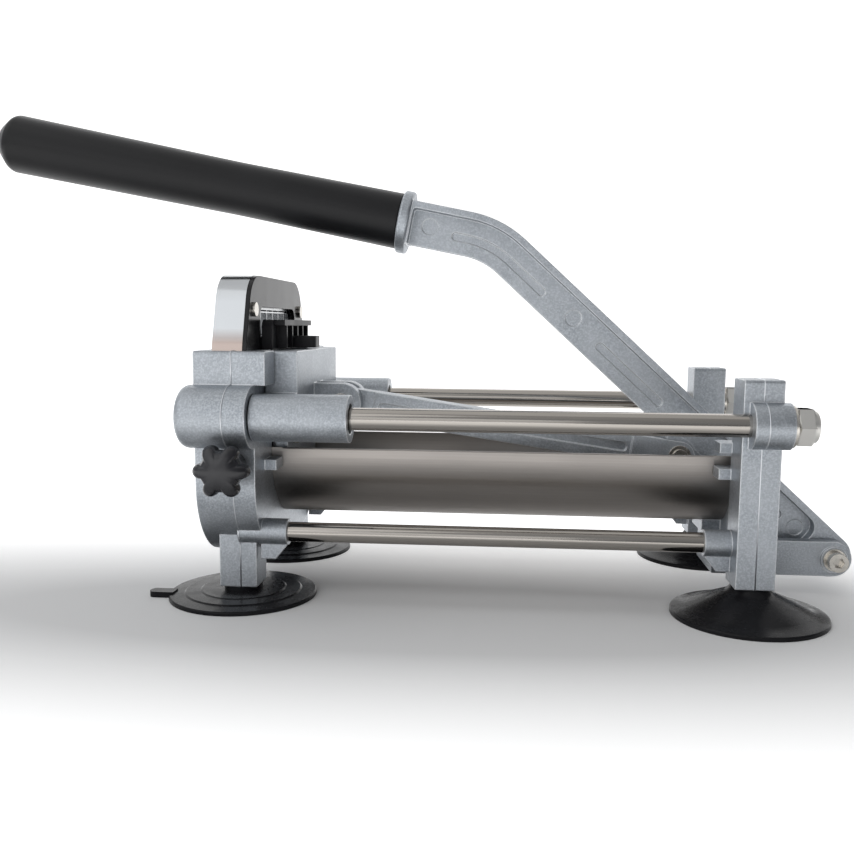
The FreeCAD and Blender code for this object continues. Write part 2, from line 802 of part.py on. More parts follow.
def rod_hardware():
    """Lock nuts with washers on the upper rods, socket screws on the tie rods."""
    nuts = []
    washers = []
    screws = []
    for side in ("", "-"):
        y = side + "rod_spread"
        label = "near" if side else "far"
        seat = REAR_BOSS_END
        face = seat + " + washer_thickness"
        ring_body = rod_along_x("washer_blank_" + label, seat, face, y, "rod_height",
                                "washer_radius")
        ring_hole = rod_along_x("washer_hole_" + label, seat, face, y, "rod_height",
                                "rod_thread_radius")
        washers.append(without("rod_washer_" + label, ring_body, ring_hole))
        hexagon = hexagon_along("nut_hexagon_" + label, "x", face, face + " + nut_length", y,
                                "rod_height", "nut_flat_radius")
        collar = rod_along_x("nut_collar_" + label, face + " + nut_length",
                             face + " + nut_length + nut_collar", y, "rod_height",
                             "nut_flat_radius - 1")
        hole = rod_along_x("nut_hole_" + label, face, face + " + nut_length + nut_collar", y,
                           "rod_height", "rod_thread_radius")
        nuts.append(without("rod_nut_" + label, fused("nut_blank_" + label, [hexagon, collar]),
                            hole))
        head_seat = POST_BACK + " - tie_head_height"
        tie_y = side + "tie_spread"
        shank = rod_along_x("tie_screw_shank_" + label, WALL_FACE, head_seat, tie_y,
                            "tie_height", "tie_screw_radius")
        head = rod_along_x("tie_screw_head_" + label, head_seat, POST_BACK, tie_y,
                           "tie_height", "tie_head_radius")
        socket = hexagon_along("tie_screw_socket_" + label, "x",
                               POST_BACK + " - tie_head_height / 2", POST_BACK, tie_y,
                               "tie_height", "tie_screw_radius * 0.83")
        screws.append(without("tie_screw_" + label,
                              fused("tie_screw_blank_" + label, [shank, head]), socket))
    gathered("rod_lock_nuts", nuts)
    gathered("rod_washers", washers)
    gathered("lower_rod_screws", screws)


def trough():
    body = new_body("trough")
    outer = TROUGH_OUTER
    low = "passage_height - %s" % outer
    sketch = sketch_on(body, "YZ_Plane", "0.1")
    outline(sketch, [
        ("-(%s)" % outer, "trough_rim_top"),
        ("-(%s)" % outer, low, outer + " - 0.05"),
        (outer, low, outer + " - 0.05"),
        (outer, "trough_rim_top"),
    ])
    pad(body, sketch, "%s - 0.2" % WALL_FACE)
    # Hems: the rim folded outwards and down
    for side in (1, -1):
        sketch = sketch_on(body, "YZ_Plane", "lug_length + 0.2")
        near = "%d * (%s)" % (side, outer)
        far = "%d * (%s + hem_thickness)" % (side, outer)
        outline(sketch, [(near, "trough_rim_top - hem_height"), (far, "trough_rim_top - hem_height"),
                         (far, "trough_rim_top", "hem_thickness / 2"), (near, "trough_rim_top")])
        pad(body, sketch, "%s - 0.2 - 2 * lug_length" % REAR_FACE)
    sketch = sketch_on(body, "YZ_Plane", WALL_FACE)
    inner = "passage_half_width"
    bottom = "passage_height - passage_half_width"
    outline(sketch, [
        ("-" + inner, "trough_rim_top + 5"),
        ("-" + inner, bottom, inner + " - 0.05"),
        (inner, bottom, inner + " - 0.05"),
        (inner, "trough_rim_top + 5"),
    ])
    cut(body, sketch, WALL_FACE)
    return body


def cassette_corners(inset):
    """The cassette's outline: rounded foot, straight sides, drawn-in shoulders."""
    side = "(cassette_half_width - (%s))" % inset
    shoulder = "(cassette_shoulder_width - (%s))" % inset
    foot = "cassette_bottom + (%s)" % inset
    top = "cassette_top - (%s)" % inset
    half = []
    half.append((side, foot, "cassette_foot_radius - (%s)" % inset))
    half.append((side, "front_top", "40"))
    half.append((shoulder, top, "18"))
    corners = list(half)
    for x, y, radius in reversed(half):
        corners.append(("-" + x, y, radius))
    return corners


def window_corners(inset):
    """The blade window: round foot like the trough, square top."""
    side = "(window_half_width - (%s))" % inset
    foot = "passage_height - window_half_width + (%s)" % inset
    top = "window_top - (%s)" % inset
    radius = side + " - 0.05"
    return [
        ("-" + side, foot, radius),
        (side, foot, radius),
        (side, top, "window_corner"),
        ("-" + side, top, "window_corner"),
    ]


def cassette():
    # Black plastic arch that carries the blades
    body = new_body("cassette_frame")
    depth = "cassette_front - cassette_rear - cover_thickness"
    sketch = sketch_on(body, "YZ_Plane", "-cassette_front")
    outline(sketch, cassette_corners("band_thickness"))
    pad(body, sketch, depth)
    sketch = sketch_on(body, "YZ_Plane", "0")
    outline(sketch, window_corners("0"))
    cut(body, sketch, "cassette_front")
    sketch = sketch_on(body, "YZ_Plane", "0")
    for side in ("", "-"):
        ring(sketch, side + "cover_screw_y", "cover_screw_z", "cover_screw_radius")
    cut(body, sketch, "cassette_rear + cover_thickness + 8")
    # Bright strip wrapped round the arch
    body = new_body("cassette_band")
    sketch = sketch_on(body, "YZ_Plane", "-cassette_front")
    outline(sketch, cassette_corners("0"))
    outline(sketch, cassette_corners("band_thickness"))
    pad(body, sketch, depth)
    # Glossy plate that closes the cassette on the pusher's side
    body = new_body("cassette_cover")
    sketch = sketch_on(body, "YZ_Plane", "-cassette_rear - cover_thickness")
    outline(sketch, cassette_corners("0.2"))
    pad(body, sketch, "cover_thickness")
    sketch = sketch_on(body, "YZ_Plane", "0")
    outline(sketch, window_corners("0"))
    cut(body, sketch, "cassette_front")
    sketch = sketch_on(body, "YZ_Plane", "0")
    for side in ("", "-"):
        ring(sketch, side + "cover_screw_y", "cover_screw_z", "cover_screw_radius")
    cut(body, sketch, "cassette_front")
    screws = []
    for side in ("", "-"):
        label = "near" if side else "far"
        y = side + "cover_screw_y"
        shank = rod_along_x("cover_screw_shank_" + label, "-cassette_rear - cover_thickness - 8",
                            "-cassette_rear", y, "cover_screw_z", "cover_screw_radius")
        head = rod_along_x("cover_screw_head_" + label, "-cassette_rear", "-cassette_rear + 1.6",
                           y, "cover_screw_z", "cover_screw_head")
        screws.append(fused("cover_screw_" + label, [shank, head]))
    gathered("cassette_screws", screws)


def blades():
    """A thin steel ring in the window, and two sets of blades slotted into each other."""
    body = new_body("blade_ring")
    sketch = sketch_on(body, "YZ_Plane", "-blade_front")
    outline(sketch, window_corners("0"))
    outline(sketch, window_corners("ring_thickness"))
    pad(body, sketch, "blade_depth")
    columns = 2 * int(amount("window_half_width") / amount("blade_pitch")) + 1
    first_row = amount("passage_height")
    rows_below = int((first_row - amount("passage_height - window_half_width")) / amount("blade_pitch"))
    rows_above = int((amount("window_top") - first_row) / amount("blade_pitch"))
    uprights = []
    upright_slots = []
    levels = []
    level_slots = []
    middle = "-blade_front + blade_depth / 2"
    for i in range(columns):
        step = i - columns // 2
        centre = "%d * blade_pitch" % step
        low, high = centre + " - blade_thickness / 2", centre + " + blade_thickness / 2"
        spread = ("passage_height - window_half_width", "window_top")
        uprights.append(box_between("upright_%d" % i, "-blade_front", "-blade_front + blade_depth",
                                    low, high, spread[0], spread[1]))
        level_slots.append(box_between("level_slot_%d" % i, "-blade_front", middle, low, high,
                                       spread[0], spread[1]))
    for i in range(-rows_below, rows_above + 1):
        centre = "passage_height + %d * blade_pitch" % i
        low, high = centre + " - blade_thickness / 2", centre + " + blade_thickness / 2"
        spread = ("-window_half_width", "window_half_width")
        number = i + rows_below
        levels.append(box_between("level_%d" % number, "-blade_front",
                                  "-blade_front + blade_depth", spread[0], spread[1], low, high))
        upright_slots.append(box_between("upright_slot_%d" % number, middle,
                                         "-blade_front + blade_depth", spread[0], spread[1],
                                         low, high))
    for name, plates, slots in (("blades_upright", uprights, upright_slots),
                                ("blades_level", levels, level_slots)):
        limit = document.addObject("PartDesign::Body", name + "_limit")
        sketch = sketch_on(limit, "YZ_Plane", "-blade_front - 1")
        outline(sketch, window_corners("ring_thickness"))
        pad(limit, sketch, "blade_depth + 2")
        slotted = without(name + "_slotted", gathered_plain(name + "_plates", plates),
                          gathered_plain(name + "_slots", slots))
        item = document.addObject("Part::Common", name)
        item.Base = slotted
        item.Tool = limit
        finished(item, name)


def gathered_plain(name, items):
    item = document.addObject("Part::Compound", name)
    item.Links = items
    return item


def clamp_knob(name, side):
    """A six-lobed knob with a neck and a domed hub, moulded on its stud."""
    sign = 1 if side == "near" else -1
    seat = "(frame_half_width + knob_gap)"
    back = "(%s + knob_neck_length)" % seat
    face = "(%s + knob_thickness)" % back
    body = new_body(name)
    sketch = sketch_on(body, "XZ_Plane", "%d * %s" % (sign, seat))
    ring(sketch, "-knob_x", "knob_height", "knob_neck_radius")
    pad(body, sketch, "knob_neck_length + 1", backwards=sign < 0)
    sketch = sketch_on(body, "XZ_Plane", "%d * %s" % (sign, back))
    ring(sketch, "-knob_x", "knob_height", "knob_core_radius")
    pad(body, sketch, "knob_thickness", backwards=sign < 0)
    sketch = sketch_on(body, "XZ_Plane", "%d * %s" % (sign, back))
    ring(sketch, "-knob_x + knob_radius - knob_lobe_radius", "knob_height", "knob_lobe_radius")
    lobe = pad(body, sketch, "knob_thickness", backwards=sign < 0)
    axis = body.newObject("PartDesign::Line", name + "_axis")
    plane = [item for item in body.Origin.OriginFeatures if item.Role == "XZ_Plane"][0]
    axis.AttachmentSupport = [(plane, "")]
    axis.MapMode = "ObjectZ"
    bind(axis, "AttachmentOffset.Base.x", "-knob_x")
    bind(axis, "AttachmentOffset.Base.y", "knob_height")
    pattern = body.newObject("PartDesign::PolarPattern", name + "_lobes")
    pattern.Originals = [lobe]
    pattern.Axis = (axis, [""])
    pattern.Angle = 360
    pattern.Occurrences = 6
    body.Tip = pattern
    document.recompute()
    round_edges(body, "knob_edge", lambda e: level_at(e, -sign * amount(face)))
    sketch = sketch_on(body, "XZ_Plane", "%d * %s" % (sign, face))
    ring(sketch, "-knob_x", "knob_height", "knob_hub_radius")
    pad(body, sketch, "knob_dome", backwards=sign < 0)
    top = amount(face + " + knob_dome")
    round_edges(body, "knob_dome - 0.1", lambda e: level_at(e, -sign * top))
    sketch = sketch_on(body, "XZ_Plane", "%d * %s" % (sign, seat))
    ring(sketch, "-knob_x", "knob_height", "stud_radius")
    cut(body, sketch, "stud_grip", backwards=sign > 0)
    stud_name = "knob_stud_" + side
    inner = "cassette_half_width + clamp_gap"
    outer = seat + " + stud_grip"
    if sign > 0:
        stud = rod_along_y(stud_name, "-(%s)" % outer, "-(%s)" % inner, "-knob_x",
                           "knob_height", "stud_radius")
    else:
        stud = rod_along_y(stud_name, inner, outer, "-knob_x", "knob_height", "stud_radius")
    finished(stud, stud_name, "-knob_x")


def pusher_carriage():
    body = new_body("pusher_carriage")
    front = "carriage_front"
    # Cross block over the pusher
    sketch = sketch_on(body, "YZ_Plane", front)
    outline(sketch, [
        ("-carriage_block_half", "carriage_block_bottom - 2"),
        ("carriage_block_half", "carriage_block_bottom - 2"),
        ("carriage_block_half", "carriage_top", "1.5"),
        ("-carriage_block_half", "carriage_top", "1.5"),
    ])
    pad(body, sketch, "carriage_block_depth")
    # Plate down into the trough
    sketch = sketch_on(body, "YZ_Plane", front)
    low = "passage_height - carriage_plate_radius"
    outline(sketch, [
        ("-carriage_plate_radius", "carriage_block_bottom"),
        ("-carriage_plate_radius", low, "carriage_plate_radius - 0.05"),
        ("carriage_plate_radius", low, "carriage_plate_radius - 0.05"),
        ("carriage_plate_radius", "carriage_block_bottom"),
    ])
    pad(body, sketch, "carriage_plate")
    # Arms out to the sleeves
    sketch = sketch_on(body, "YZ_Plane", front)
    rectangle(sketch, "-rod_spread", "rod_spread", "arm_bottom", "carriage_block_bottom - 1")
    pad(body, sketch, "carriage_block_depth")
    # Sleeves
    sketch = sketch_on(body, "YZ_Plane", front)
    for side in ("", "-"):
        ring(sketch, side + "rod_spread", "rod_height", "sleeve_radius")
    pad(body, sketch, "sleeve_length")
    # Lugs for the link
    sketch = sketch_on(body, "XZ_Plane")
    outline(sketch, [
        (front, "yoke_z - lug_radius - 4"),
        ("yoke_x + lug_radius", "yoke_z - lug_radius", "lug_radius - 0.05"),
        ("yoke_x + lug_radius", "yoke_z + lug_radius", "lug_radius - 0.05"),
        (front, "yoke_z + lug_radius"),
    ])
    pad(body, sketch, "2 * lug_outer", both_ways=True)
    sketch = sketch_on(body, "XZ_Plane")
    gap_start = "carriage_front + carriage_block_depth"
    outline(sketch, [
        (gap_start, "yoke_z - 2 * lug_radius"),
        ("yoke_x + 2 * lug_radius", "yoke_z - 2 * lug_radius"),
        ("yoke_x + 2 * lug_radius", "yoke_z + 2 * lug_radius"),
        (gap_start, "yoke_z + 2 * lug_radius"),
    ])
    cut(body, sketch, "2 * lug_inner", both_ways=True)
    sketch = sketch_on(body, "XZ_Plane")
    ring(sketch, "yoke_x", "yoke_z", "yoke_pin_radius")
    cut(body, sketch, "2 * lug_outer + 2", both_ways=True)
    # Sleeve bores: open for the bushes
    sketch = sketch_on(body, "YZ_Plane", front + " + sleeve_length")
    for side in ("", "-"):
        ring(sketch, side + "rod_spread", "rod_height", "sleeve_bore")
    cut(body, sketch, "sleeve_length")
    # Threaded holes for the pusher head
    sketch = sketch_on(body, "YZ_Plane", front + " + carriage_plate")
    for side in ("", "-"):
        for height in ("pusher_screw_low", "pusher_screw_high"):
            ring(sketch, side + "pusher_screw_y", height, "pusher_screw_radius")
    cut(body, sketch, "carriage_plate")
    bushes = []
    for side in ("", "-"):
        for end in ("front", "rear"):
            label = end + ("_near" if side else "_far")
            start = "carriage_front + bush_recess"
            if end == "rear":
                start = "carriage_front + sleeve_length - bush_recess - bush_length"
            finish = "(%s) + bush_length" % start
            y = side + "rod_spread"
            blank = rod_along_x("bush_blank_" + label, start, finish, y, "rod_height", "sleeve_bore")
            hole = rod_along_x("bush_hole_" + label, start, finish, y, "rod_height", "bush_inner")
            bushes.append(without("bush_" + label, blank, hole))
    gathered("carriage_bushes", bushes)


def pusher_corners(inset):
    side = "(pusher_half_width - (%s))" % inset
    foot = "passage_height - pusher_half_width + (%s)" % inset
    return [
        ("-" + side, foot, side + " - 0.05"),
        (side, foot, side + " - 0.05"),
        (side, "pusher_top - (%s)" % inset, "4"),
        ("-" + side, "pusher_top - (%s)" % inset, "4"),
    ]


def pusher_plate():
    """The plastic head: a plate, one peg for each cell, ribs and a tab over the carriage."""
    plate = document.addObject("PartDesign::Body", "pusher_plate_body")
    sketch = sketch_on(plate, "YZ_Plane", "carriage_front - pusher_thickness")
    outline(sketch, pusher_corners("0"))
    pad(plate, sketch, "pusher_thickness")
    # Ribs behind the upper edge, and the rail over them
    for step in range(-2, 3):
        sketch = sketch_on(plate, "YZ_Plane", "carriage_front - 1")
        centre = "%d * blade_pitch" % step
        rectangle(sketch, centre + " - rib_thickness / 2", centre + " + rib_thickness / 2",
                  "rib_bottom", "pusher_top - 1")
        pad(plate, sketch, "rib_depth + 1")
    sketch = sketch_on(plate, "YZ_Plane", "carriage_front - 1")
    rectangle(sketch, "-pusher_half_width + 5", "pusher_half_width - 5", "pusher_top - 3", "pusher_top")
    pad(plate, sketch, "rib_depth + 1.5")
    sketch = sketch_on(plate, "XY_Plane", "tab_bottom")
    outline(sketch, [
        ("carriage_front - 1", "-tab_half_width"),
        ("carriage_front + tab_reach", "-tab_half_width", "tab_half_width / 2"),
        ("carriage_front + tab_reach", "tab_half_width", "tab_half_width / 2"),
        ("carriage_front - 1", "tab_half_width"),
    ])
    pad(plate, sketch, "tab_thickness")
    sketch = sketch_on(plate, "YZ_Plane", "carriage_front")
    for side in ("", "-"):
        for height in ("pusher_screw_low", "pusher_screw_high"):
            ring(sketch, side + "pusher_screw_y", height, "pusher_screw_radius")
    cut(plate, sketch, "pusher_thickness")
    # Pegs, trimmed to the outline of the passage
    pegs = []
    half_columns = int(amount("window_half_width") / amount("blade_pitch")) + 1
    rows_below = int(amount("window_half_width") / amount("blade_pitch")) + 1
    rows_above = int((amount("pusher_top") - amount("passage_height")) / amount("blade_pitch"))
    back = "carriage_front - pusher_thickness + 0.5"
    tip = "carriage_front - pusher_thickness - peg_length"
    margin = "blade_thickness / 2 + peg_gap"
    for column in range(-half_columns, half_columns):
        for row in range(-rows_below, rows_above):
            low_y = "%d * blade_pitch + %s" % (column, margin)
            high_y = "%d * blade_pitch - (%s)" % (column + 1, margin)
            low_z = "passage_height + %d * blade_pitch + %s" % (row, margin)
            high_z = "passage_height + %d * blade_pitch - (%s)" % (row + 1, margin)
            reach_y = min(abs(column), abs(column + 1)) * amount("blade_pitch")
            reach_z = max(0, -(row + 1)) * amount("blade_pitch")
            if math.hypot(reach_y, reach_z) + 5 > amount("pusher_half_width"):
                continue
            pegs.append(box_between("peg_%d" % len(pegs), tip, back, low_y, high_y, low_z, high_z))
    limit = document.addObject("PartDesign::Body", "peg_limit")
    sketch = sketch_on(limit, "YZ_Plane", tip + " - 1")
    outline(sketch, pusher_corners("ring_thickness + 0.6"))
    pad(limit, sketch, "pusher_thickness + peg_length + 2")
    trimmed = document.addObject("Part::Common", "pegs_trimmed")
    trimmed.Base = gathered_plain("pegs", pegs)
    trimmed.Tool = limit
    finished(fused("pusher_plate", [plate, trimmed]), "pusher_plate")
    screws = []
    number = 0
    for side in ("", "-"):
        for height in ("pusher_screw_low", "pusher_screw_high"):
            number += 1
            y = side + "pusher_screw_y"
            shank = rod_along_x("pusher_screw_shank_%d" % number, "carriage_front - pusher_thickness + 1",
                                "carriage_front + carriage_plate", y, height, "pusher_screw_radius")
            head = rod_along_x("pusher_screw_head_%d" % number, "carriage_front + carriage_plate",
                               "carriage_front + carriage_plate + 2.5", y, height,
                               "pusher_screw_head")
            screws.append(fused("pusher_screw_%d" % number, [shank, head]))
    gathered("pusher_plate_screws", screws)


def slot_outline(start, finish, offset, half):
    """A straight slot along the arm with round ends."""
    round_end = half + " - 0.02"
    return [
        arm_point(start, "%s - (%s)" % (offset, half)) + (round_end,),
        arm_point(start, "%s + (%s)" % (offset, half)) + (round_end,),
        arm_point(finish, "%s + (%s)" % (offset, half)) + (round_end,),
        arm_point(finish, "%s - (%s)" % (offset, half)) + (round_end,),
    ]


def lever():
    body = new_body("lever")
    # The arm at its full width, round the pivot and up to the collar
    sketch = sketch_on(body, "XZ_Plane")
    depth = "arm_half_depth"
    outline(sketch, [
        arm_point("-" + depth, depth) + (depth + " - 0.05",),
        bend_point(depth) + ("arm_bend + arm_half_depth",),
        handle_point("1", depth),
        handle_point("1", "-" + depth),
        bend_point("-" + depth) + ("arm_bend - arm_half_depth",),
        arm_point("-" + depth, "-" + depth) + (depth + " - 0.05",),
    ])
    pad(body, sketch, "2 * flange_half_width", both_ways=True)
    # Both sides cut back to the web, under the top flange
    under = "arm_half_depth - flange_thickness"
    beyond = "-arm_half_depth - 6"
    cut_sides(body, [
        arm_point("hub_reach", under) + ("7",),
        bend_point(under) + ("arm_bend + %s" % under,),
        handle_point("-1", under) + ("2",),
        handle_point("-1", beyond),
        bend_point(beyond),
        arm_point("hub_reach - 9", beyond),
        arm_point("hub_reach - 1", "-arm_half_depth + 3") + ("4",),
    ], "flange_half_width", "web_half")
    # The eye for the link hangs under the arm
    sketch = sketch_on(body, "XZ_Plane")
    ring(sketch, "crank_x", "crank_z", "crank_eye_radius")
    pad(body, sketch, "2 * crank_eye_half", both_ways=True)
    sketch = sketch_on(body, "XZ_Plane")
    eye_along = "((pivot_x - crank_x) * -cos(arm_angle) + (crank_z - pivot_z) * sin(arm_angle))"
    outline(sketch, [
        arm_point(eye_along + " - crank_eye_radius - 5", "-arm_half_depth + 4"),
        arm_point(eye_along + " - crank_eye_radius", "-arm_half_depth - 4"),
        arm_point(eye_along + " + crank_eye_radius", "-arm_half_depth - 4"),
        arm_point(eye_along + " + crank_eye_radius + 5", "-arm_half_depth + 4"),
    ])
    pad(body, sketch, "2 * crank_eye_half", both_ways=True)
    # Collar and the stem inside the grip, turned about the handle's axis
    sketch = sketch_on(body, "XZ_Plane")
    tip = "collar_length + stem_length"
    outline(sketch, [
        handle_point("0", "0"),
        handle_point("0", "collar_radius") + ("1.2",),
        handle_point("collar_length", "collar_radius") + ("1.2",),
        handle_point("collar_length", "stem_radius"),
        handle_point(tip, "stem_radius"),
        handle_point(tip, "0"),
    ])
    turning_axis(sketch)
    revolve(body, sketch, "Axis0")
    # Shallow slots and round marks on the web
    mark = "web_half - slot_depth"
    cut_sides(body, slot_outline("31", "78", "-slot_offset", "slot_half"), "web_half", mark)
    cut_sides(body, slot_outline("120", "168", "-slot_offset", "slot_half"), "web_half", mark)
    cut_sides(body, [
        arm_point("207", "-slot_offset - slot_half") + ("slot_half - 0.02",),
        arm_point("207", "-slot_offset + slot_half") + ("slot_half - 0.02",),
        bend_point("-slot_offset + slot_half") + ("arm_bend",),
        handle_point("-arm_length_upper + 22", "-slot_offset + slot_half") + ("slot_half - 0.02",),
        handle_point("-arm_length_upper + 22", "-slot_offset - slot_half") + ("slot_half - 0.02",),
        bend_point("-slot_offset - slot_half") + ("arm_bend - 2 * slot_half",),
    ], "web_half", mark)
    for along, across in (("21.5", "-1"), ("187", "-1")):
        cut_sides(body, [arm_point(along, across) + ("ejector_radius",)], "web_half",
                  "web_half - ejector_depth")
    cut_sides(body, [handle_point("-11", "0") + ("ejector_radius",)], "web_half",
              "web_half - ejector_depth")
    # Bores for the pivot bolt and the crank pin
    sketch = sketch_on(body, "XZ_Plane")
    ring(sketch, "pivot_x", "pivot_z", "pivot_radius + pin_clearance")
    ring(sketch, "crank_x", "crank_z", "crank_pin_radius + pin_clearance")
    cut(body, sketch, "2 * flange_half_width + 2", both_ways=True)
    return body


def turning_axis(sketch):
    """A construction line along the handle's axis."""
    ends = [Vector(*[amount(v) for v in handle_point(d)]) for d in ("0", "collar_length")]
    line = sketch.addGeometry(Part.LineSegment(ends[0], ends[1]), True)
    pin_point(sketch, line, 1, *handle_point("0"))
    pin_point(sketch, line, 2, *handle_point("collar_length"))


def grip():
    body = new_body("grip")
    sketch = sketch_on(body, "XZ_Plane")
    end = HANDLE_END
    outline(sketch, [
        handle_point("collar_length", "stem_radius"),
        handle_point("collar_length", "grip_radius_inner_end") + ("1",),
        handle_point("collar_length + grip_waist_place", "grip_waist_radius") + ("500",),
        handle_point(end + " - grip_dome", "grip_end_radius") + ("grip_end_round",),
        handle_point(end, "grip_dome_flat") + ("grip_end_round",),
        handle_point(end, "0"),
        handle_point("collar_length + stem_length", "0"),
        handle_point("collar_length + stem_length", "stem_radius"),
    ])
    turning_axis(sketch)
    revolve(body, sketch, "Axis0")
    return body


LINK_LENGTH = "sqrt((crank_x - yoke_x) ^ 2 + (yoke_z - crank_z) ^ 2)"
LINK_COS = "((crank_x - yoke_x) / %s)" % LINK_LENGTH
LINK_SIN = "((crank_z - yoke_z) / %s)" % LINK_LENGTH


def link_point(along, across="0"):
    """A place on the link: distance from the yoke end, offset upwards."""
    return (
        "yoke_x + (%s) * %s - (%s) * %s" % (along, LINK_COS, across, LINK_SIN),
        "yoke_z + (%s) * %s + (%s) * %s" % (along, LINK_SIN, across, LINK_COS),
    )


def link_box(start, finish, half, radius=None):
    corners = [link_point(start, "-(%s)" % half), link_point(finish, "-(%s)" % half),
               link_point(finish, half), link_point(start, half)]
    if radius:
        corners = [corner + (radius,) for corner in corners]
    return corners


def link():
    body = new_body("link")
    reach = LINK_LENGTH
    # Bar with round ends at the fork's full width
    sketch = sketch_on(body, "XZ_Plane")
    round_end = "link_half_height - 0.05"
    outline(sketch, [
        link_point("-link_half_height", "-link_half_height") + (round_end,),
        link_point(reach + " + link_half_height", "-link_half_height") + (round_end,),
        link_point(reach + " + link_half_height", "link_half_height") + (round_end,),
        link_point("-link_half_height", "link_half_height") + (round_end,),
    ])
    pad(body, sketch, "2 * fork_half_width", both_ways=True)
    # Cut back to the bar's width, then to the eye's
    margin = "link_half_height + 3"
    cut_sides(body, link_box("-20", reach + " - fork_length", margin),
              "fork_half_width", "link_half_width")
    cut_sides(body, link_box("-20", "link_eye_length", margin), "link_half_width", "link_eye_half")
    # Gap of the fork
    sketch = sketch_on(body, "XZ_Plane")
    outline(sketch, link_box(reach + " - fork_depth", reach + " + 20", margin))
    cut(body, sketch, "2 * fork_gap", both_ways=True)
    # Long groove in both faces
    cut_sides(body, link_box("link_eye_length + 2.5", reach + " - fork_length - 2",
                             "link_groove_half", "link_groove_half - 0.02"),
              "link_half_width", "link_half_width - link_groove_depth")
    sketch = sketch_on(body, "XZ_Plane")
    ring(sketch, "yoke_x", "yoke_z", "yoke_pin_radius + pin_clearance")
    ring(sketch, "crank_x", "crank_z", "crank_pin_radius")
    cut(body, sketch, "2 * fork_half_width + 2", both_ways=True)
    # Crank pin with a spring clip at each end
    span = "fork_half_width + clip_thickness + pin_end"
    pin = rod_along_y("crank_pin", "-(%s)" % span, span, "crank_x", "crank_z", "crank_pin_radius")
    finished(pin, "crank_pin", "crank_x")
    clips = []
    for sign, label in ((1, "far"), (-1, "near")):
        start = "fork_half_width" if sign > 0 else "-(fork_half_width + clip_thickness)"
        finish = "(%s) + clip_thickness" % start
        blank = rod_along_y("clip_blank_" + label, start, finish, "crank_x", "crank_z", "clip_radius")
        hole = rod_along_y("clip_hole_" + label, start, finish, "crank_x", "crank_z",
                           "crank_pin_radius")
        clips.append(without("crank_clip_" + label, blank, hole))
    gathered("crank_pin_clips", clips)


def yoke_screws():
    """Shoulder screws in the carriage's lugs, one from each side, short of the link's eye."""
    screws = []
    for sign, label in ((1, "far"), (-1, "near")):
        tip = "link_eye_half + yoke_pin_gap"
        seat = "lug_outer"
        top = "lug_outer + yoke_head_height"
        if sign > 0:
            shank = rod_along_y("yoke_shank_" + label, tip, seat, "yoke_x", "yoke_z", "yoke_pin_radius")
            head = rod_along_y("yoke_head_" + label, seat, top, "yoke_x", "yoke_z", "yoke_head_radius")
        else:
            shank = rod_along_y("yoke_shank_" + label, "-" + seat, "-(%s)" % tip, "yoke_x",
                                "yoke_z", "yoke_pin_radius")
            head = rod_along_y("yoke_head_" + label, "-(%s)" % top, "-" + seat, "yoke_x",
                               "yoke_z", "yoke_head_radius")
        screws.append(fused("yoke_screw_" + label, [shank, head]))
    gathered("carriage_pivot_screws", screws)


def pivot_hardware():
    """Socket head bolt through the clevis and the lever, with washers and a nut."""
    face = "clevis_half_width + clevis_boss_height"
    shank = rod_along_y("pivot_shank", "-(%s) - 1" % face,
                        face + " + 1 + pivot_nut_length + 1", "pivot_x", "pivot_z", "pivot_radius")
    head = rod_along_y("pivot_head", "-(%s) - 1 - bolt_head_height" % face, "-(%s) - 1" % face,
                       "pivot_x", "pivot_z", "bolt_head_radius")
    socket = hexagon_along("pivot_socket", "y", "-(%s) - 1 - bolt_head_height" % face,
                           "-(%s) - 1 - bolt_head_height / 2" % face, "pivot_x", "pivot_z",
                           "pivot_radius * 0.83")
    bolt = without("pivot_bolt", fused("pivot_bolt_blank", [shank, head]), socket)
    finished(bolt, "pivot_bolt")
    washers = []
    for label, start in (("near", "-(%s) - 1" % face), ("far", face)):
        blank = rod_along_y("pivot_washer_blank_" + label, start, "(%s) + 1" % start, "pivot_x",
                            "pivot_z", "clevis_boss_radius - 1")
        hole = rod_along_y("pivot_washer_hole_" + label, start, "(%s) + 1" % start, "pivot_x",
                           "pivot_z", "pivot_radius")
        washers.append(without("pivot_washer_" + label, blank, hole))
    gathered("pivot_washers", washers)
    blank = hexagon_along("pivot_nut_blank", "y", face + " + 1", face + " + 1 + pivot_nut_length",
                          "pivot_x", "pivot_z", "pivot_nut_radius")
    hole = rod_along_y("pivot_nut_hole", face + " + 1", face + " + 1 + pivot_nut_length",
                       "pivot_x", "pivot_z", "pivot_radius")
    finished(without("pivot_nut", blank, hole), "pivot_nut")


def suction_cup(name, x, y, profile, hole_top, ear=None):
    """A moulded rubber cup turned about its own upright axis, hollow underneath."""
    body = document.addObject("PartDesign::Body", name)
    body.Label = name
    bind(body, "Placement.Base.x", "%s - (%s)" % (x, CENTRE_X))
    bind(body, "Placement.Base.y", y)
    sketch = sketch_on(body, "XZ_Plane")
    outline(sketch, profile)
    revolve(body, sketch, "V_Axis")
    if ear:
        sketch = sketch_on(body, "XY_Plane")
        outline(sketch, [
            ("-cup_radius - tab_ear_reach", "%s * 8 - tab_ear_width / 2" % ear, "3"),
            ("-cup_radius + 4", "%s * 8 - tab_ear_width / 2" % ear),
            ("-cup_radius + 4", "%s * 8 + tab_ear_width / 2" % ear),
            ("-cup_radius - tab_ear_reach", "%s * 8 + tab_ear_width / 2" % ear, "3"),
        ])
        pad(body, sketch, "cup_rim + 1")
    sketch = sketch_on(body, "XY_Plane", hole_top)
    ring(sketch, "0", "0", "cup_stud_radius")
    cut(body, sketch, "%s - cup_hollow - 1" % hole_top)
    return body


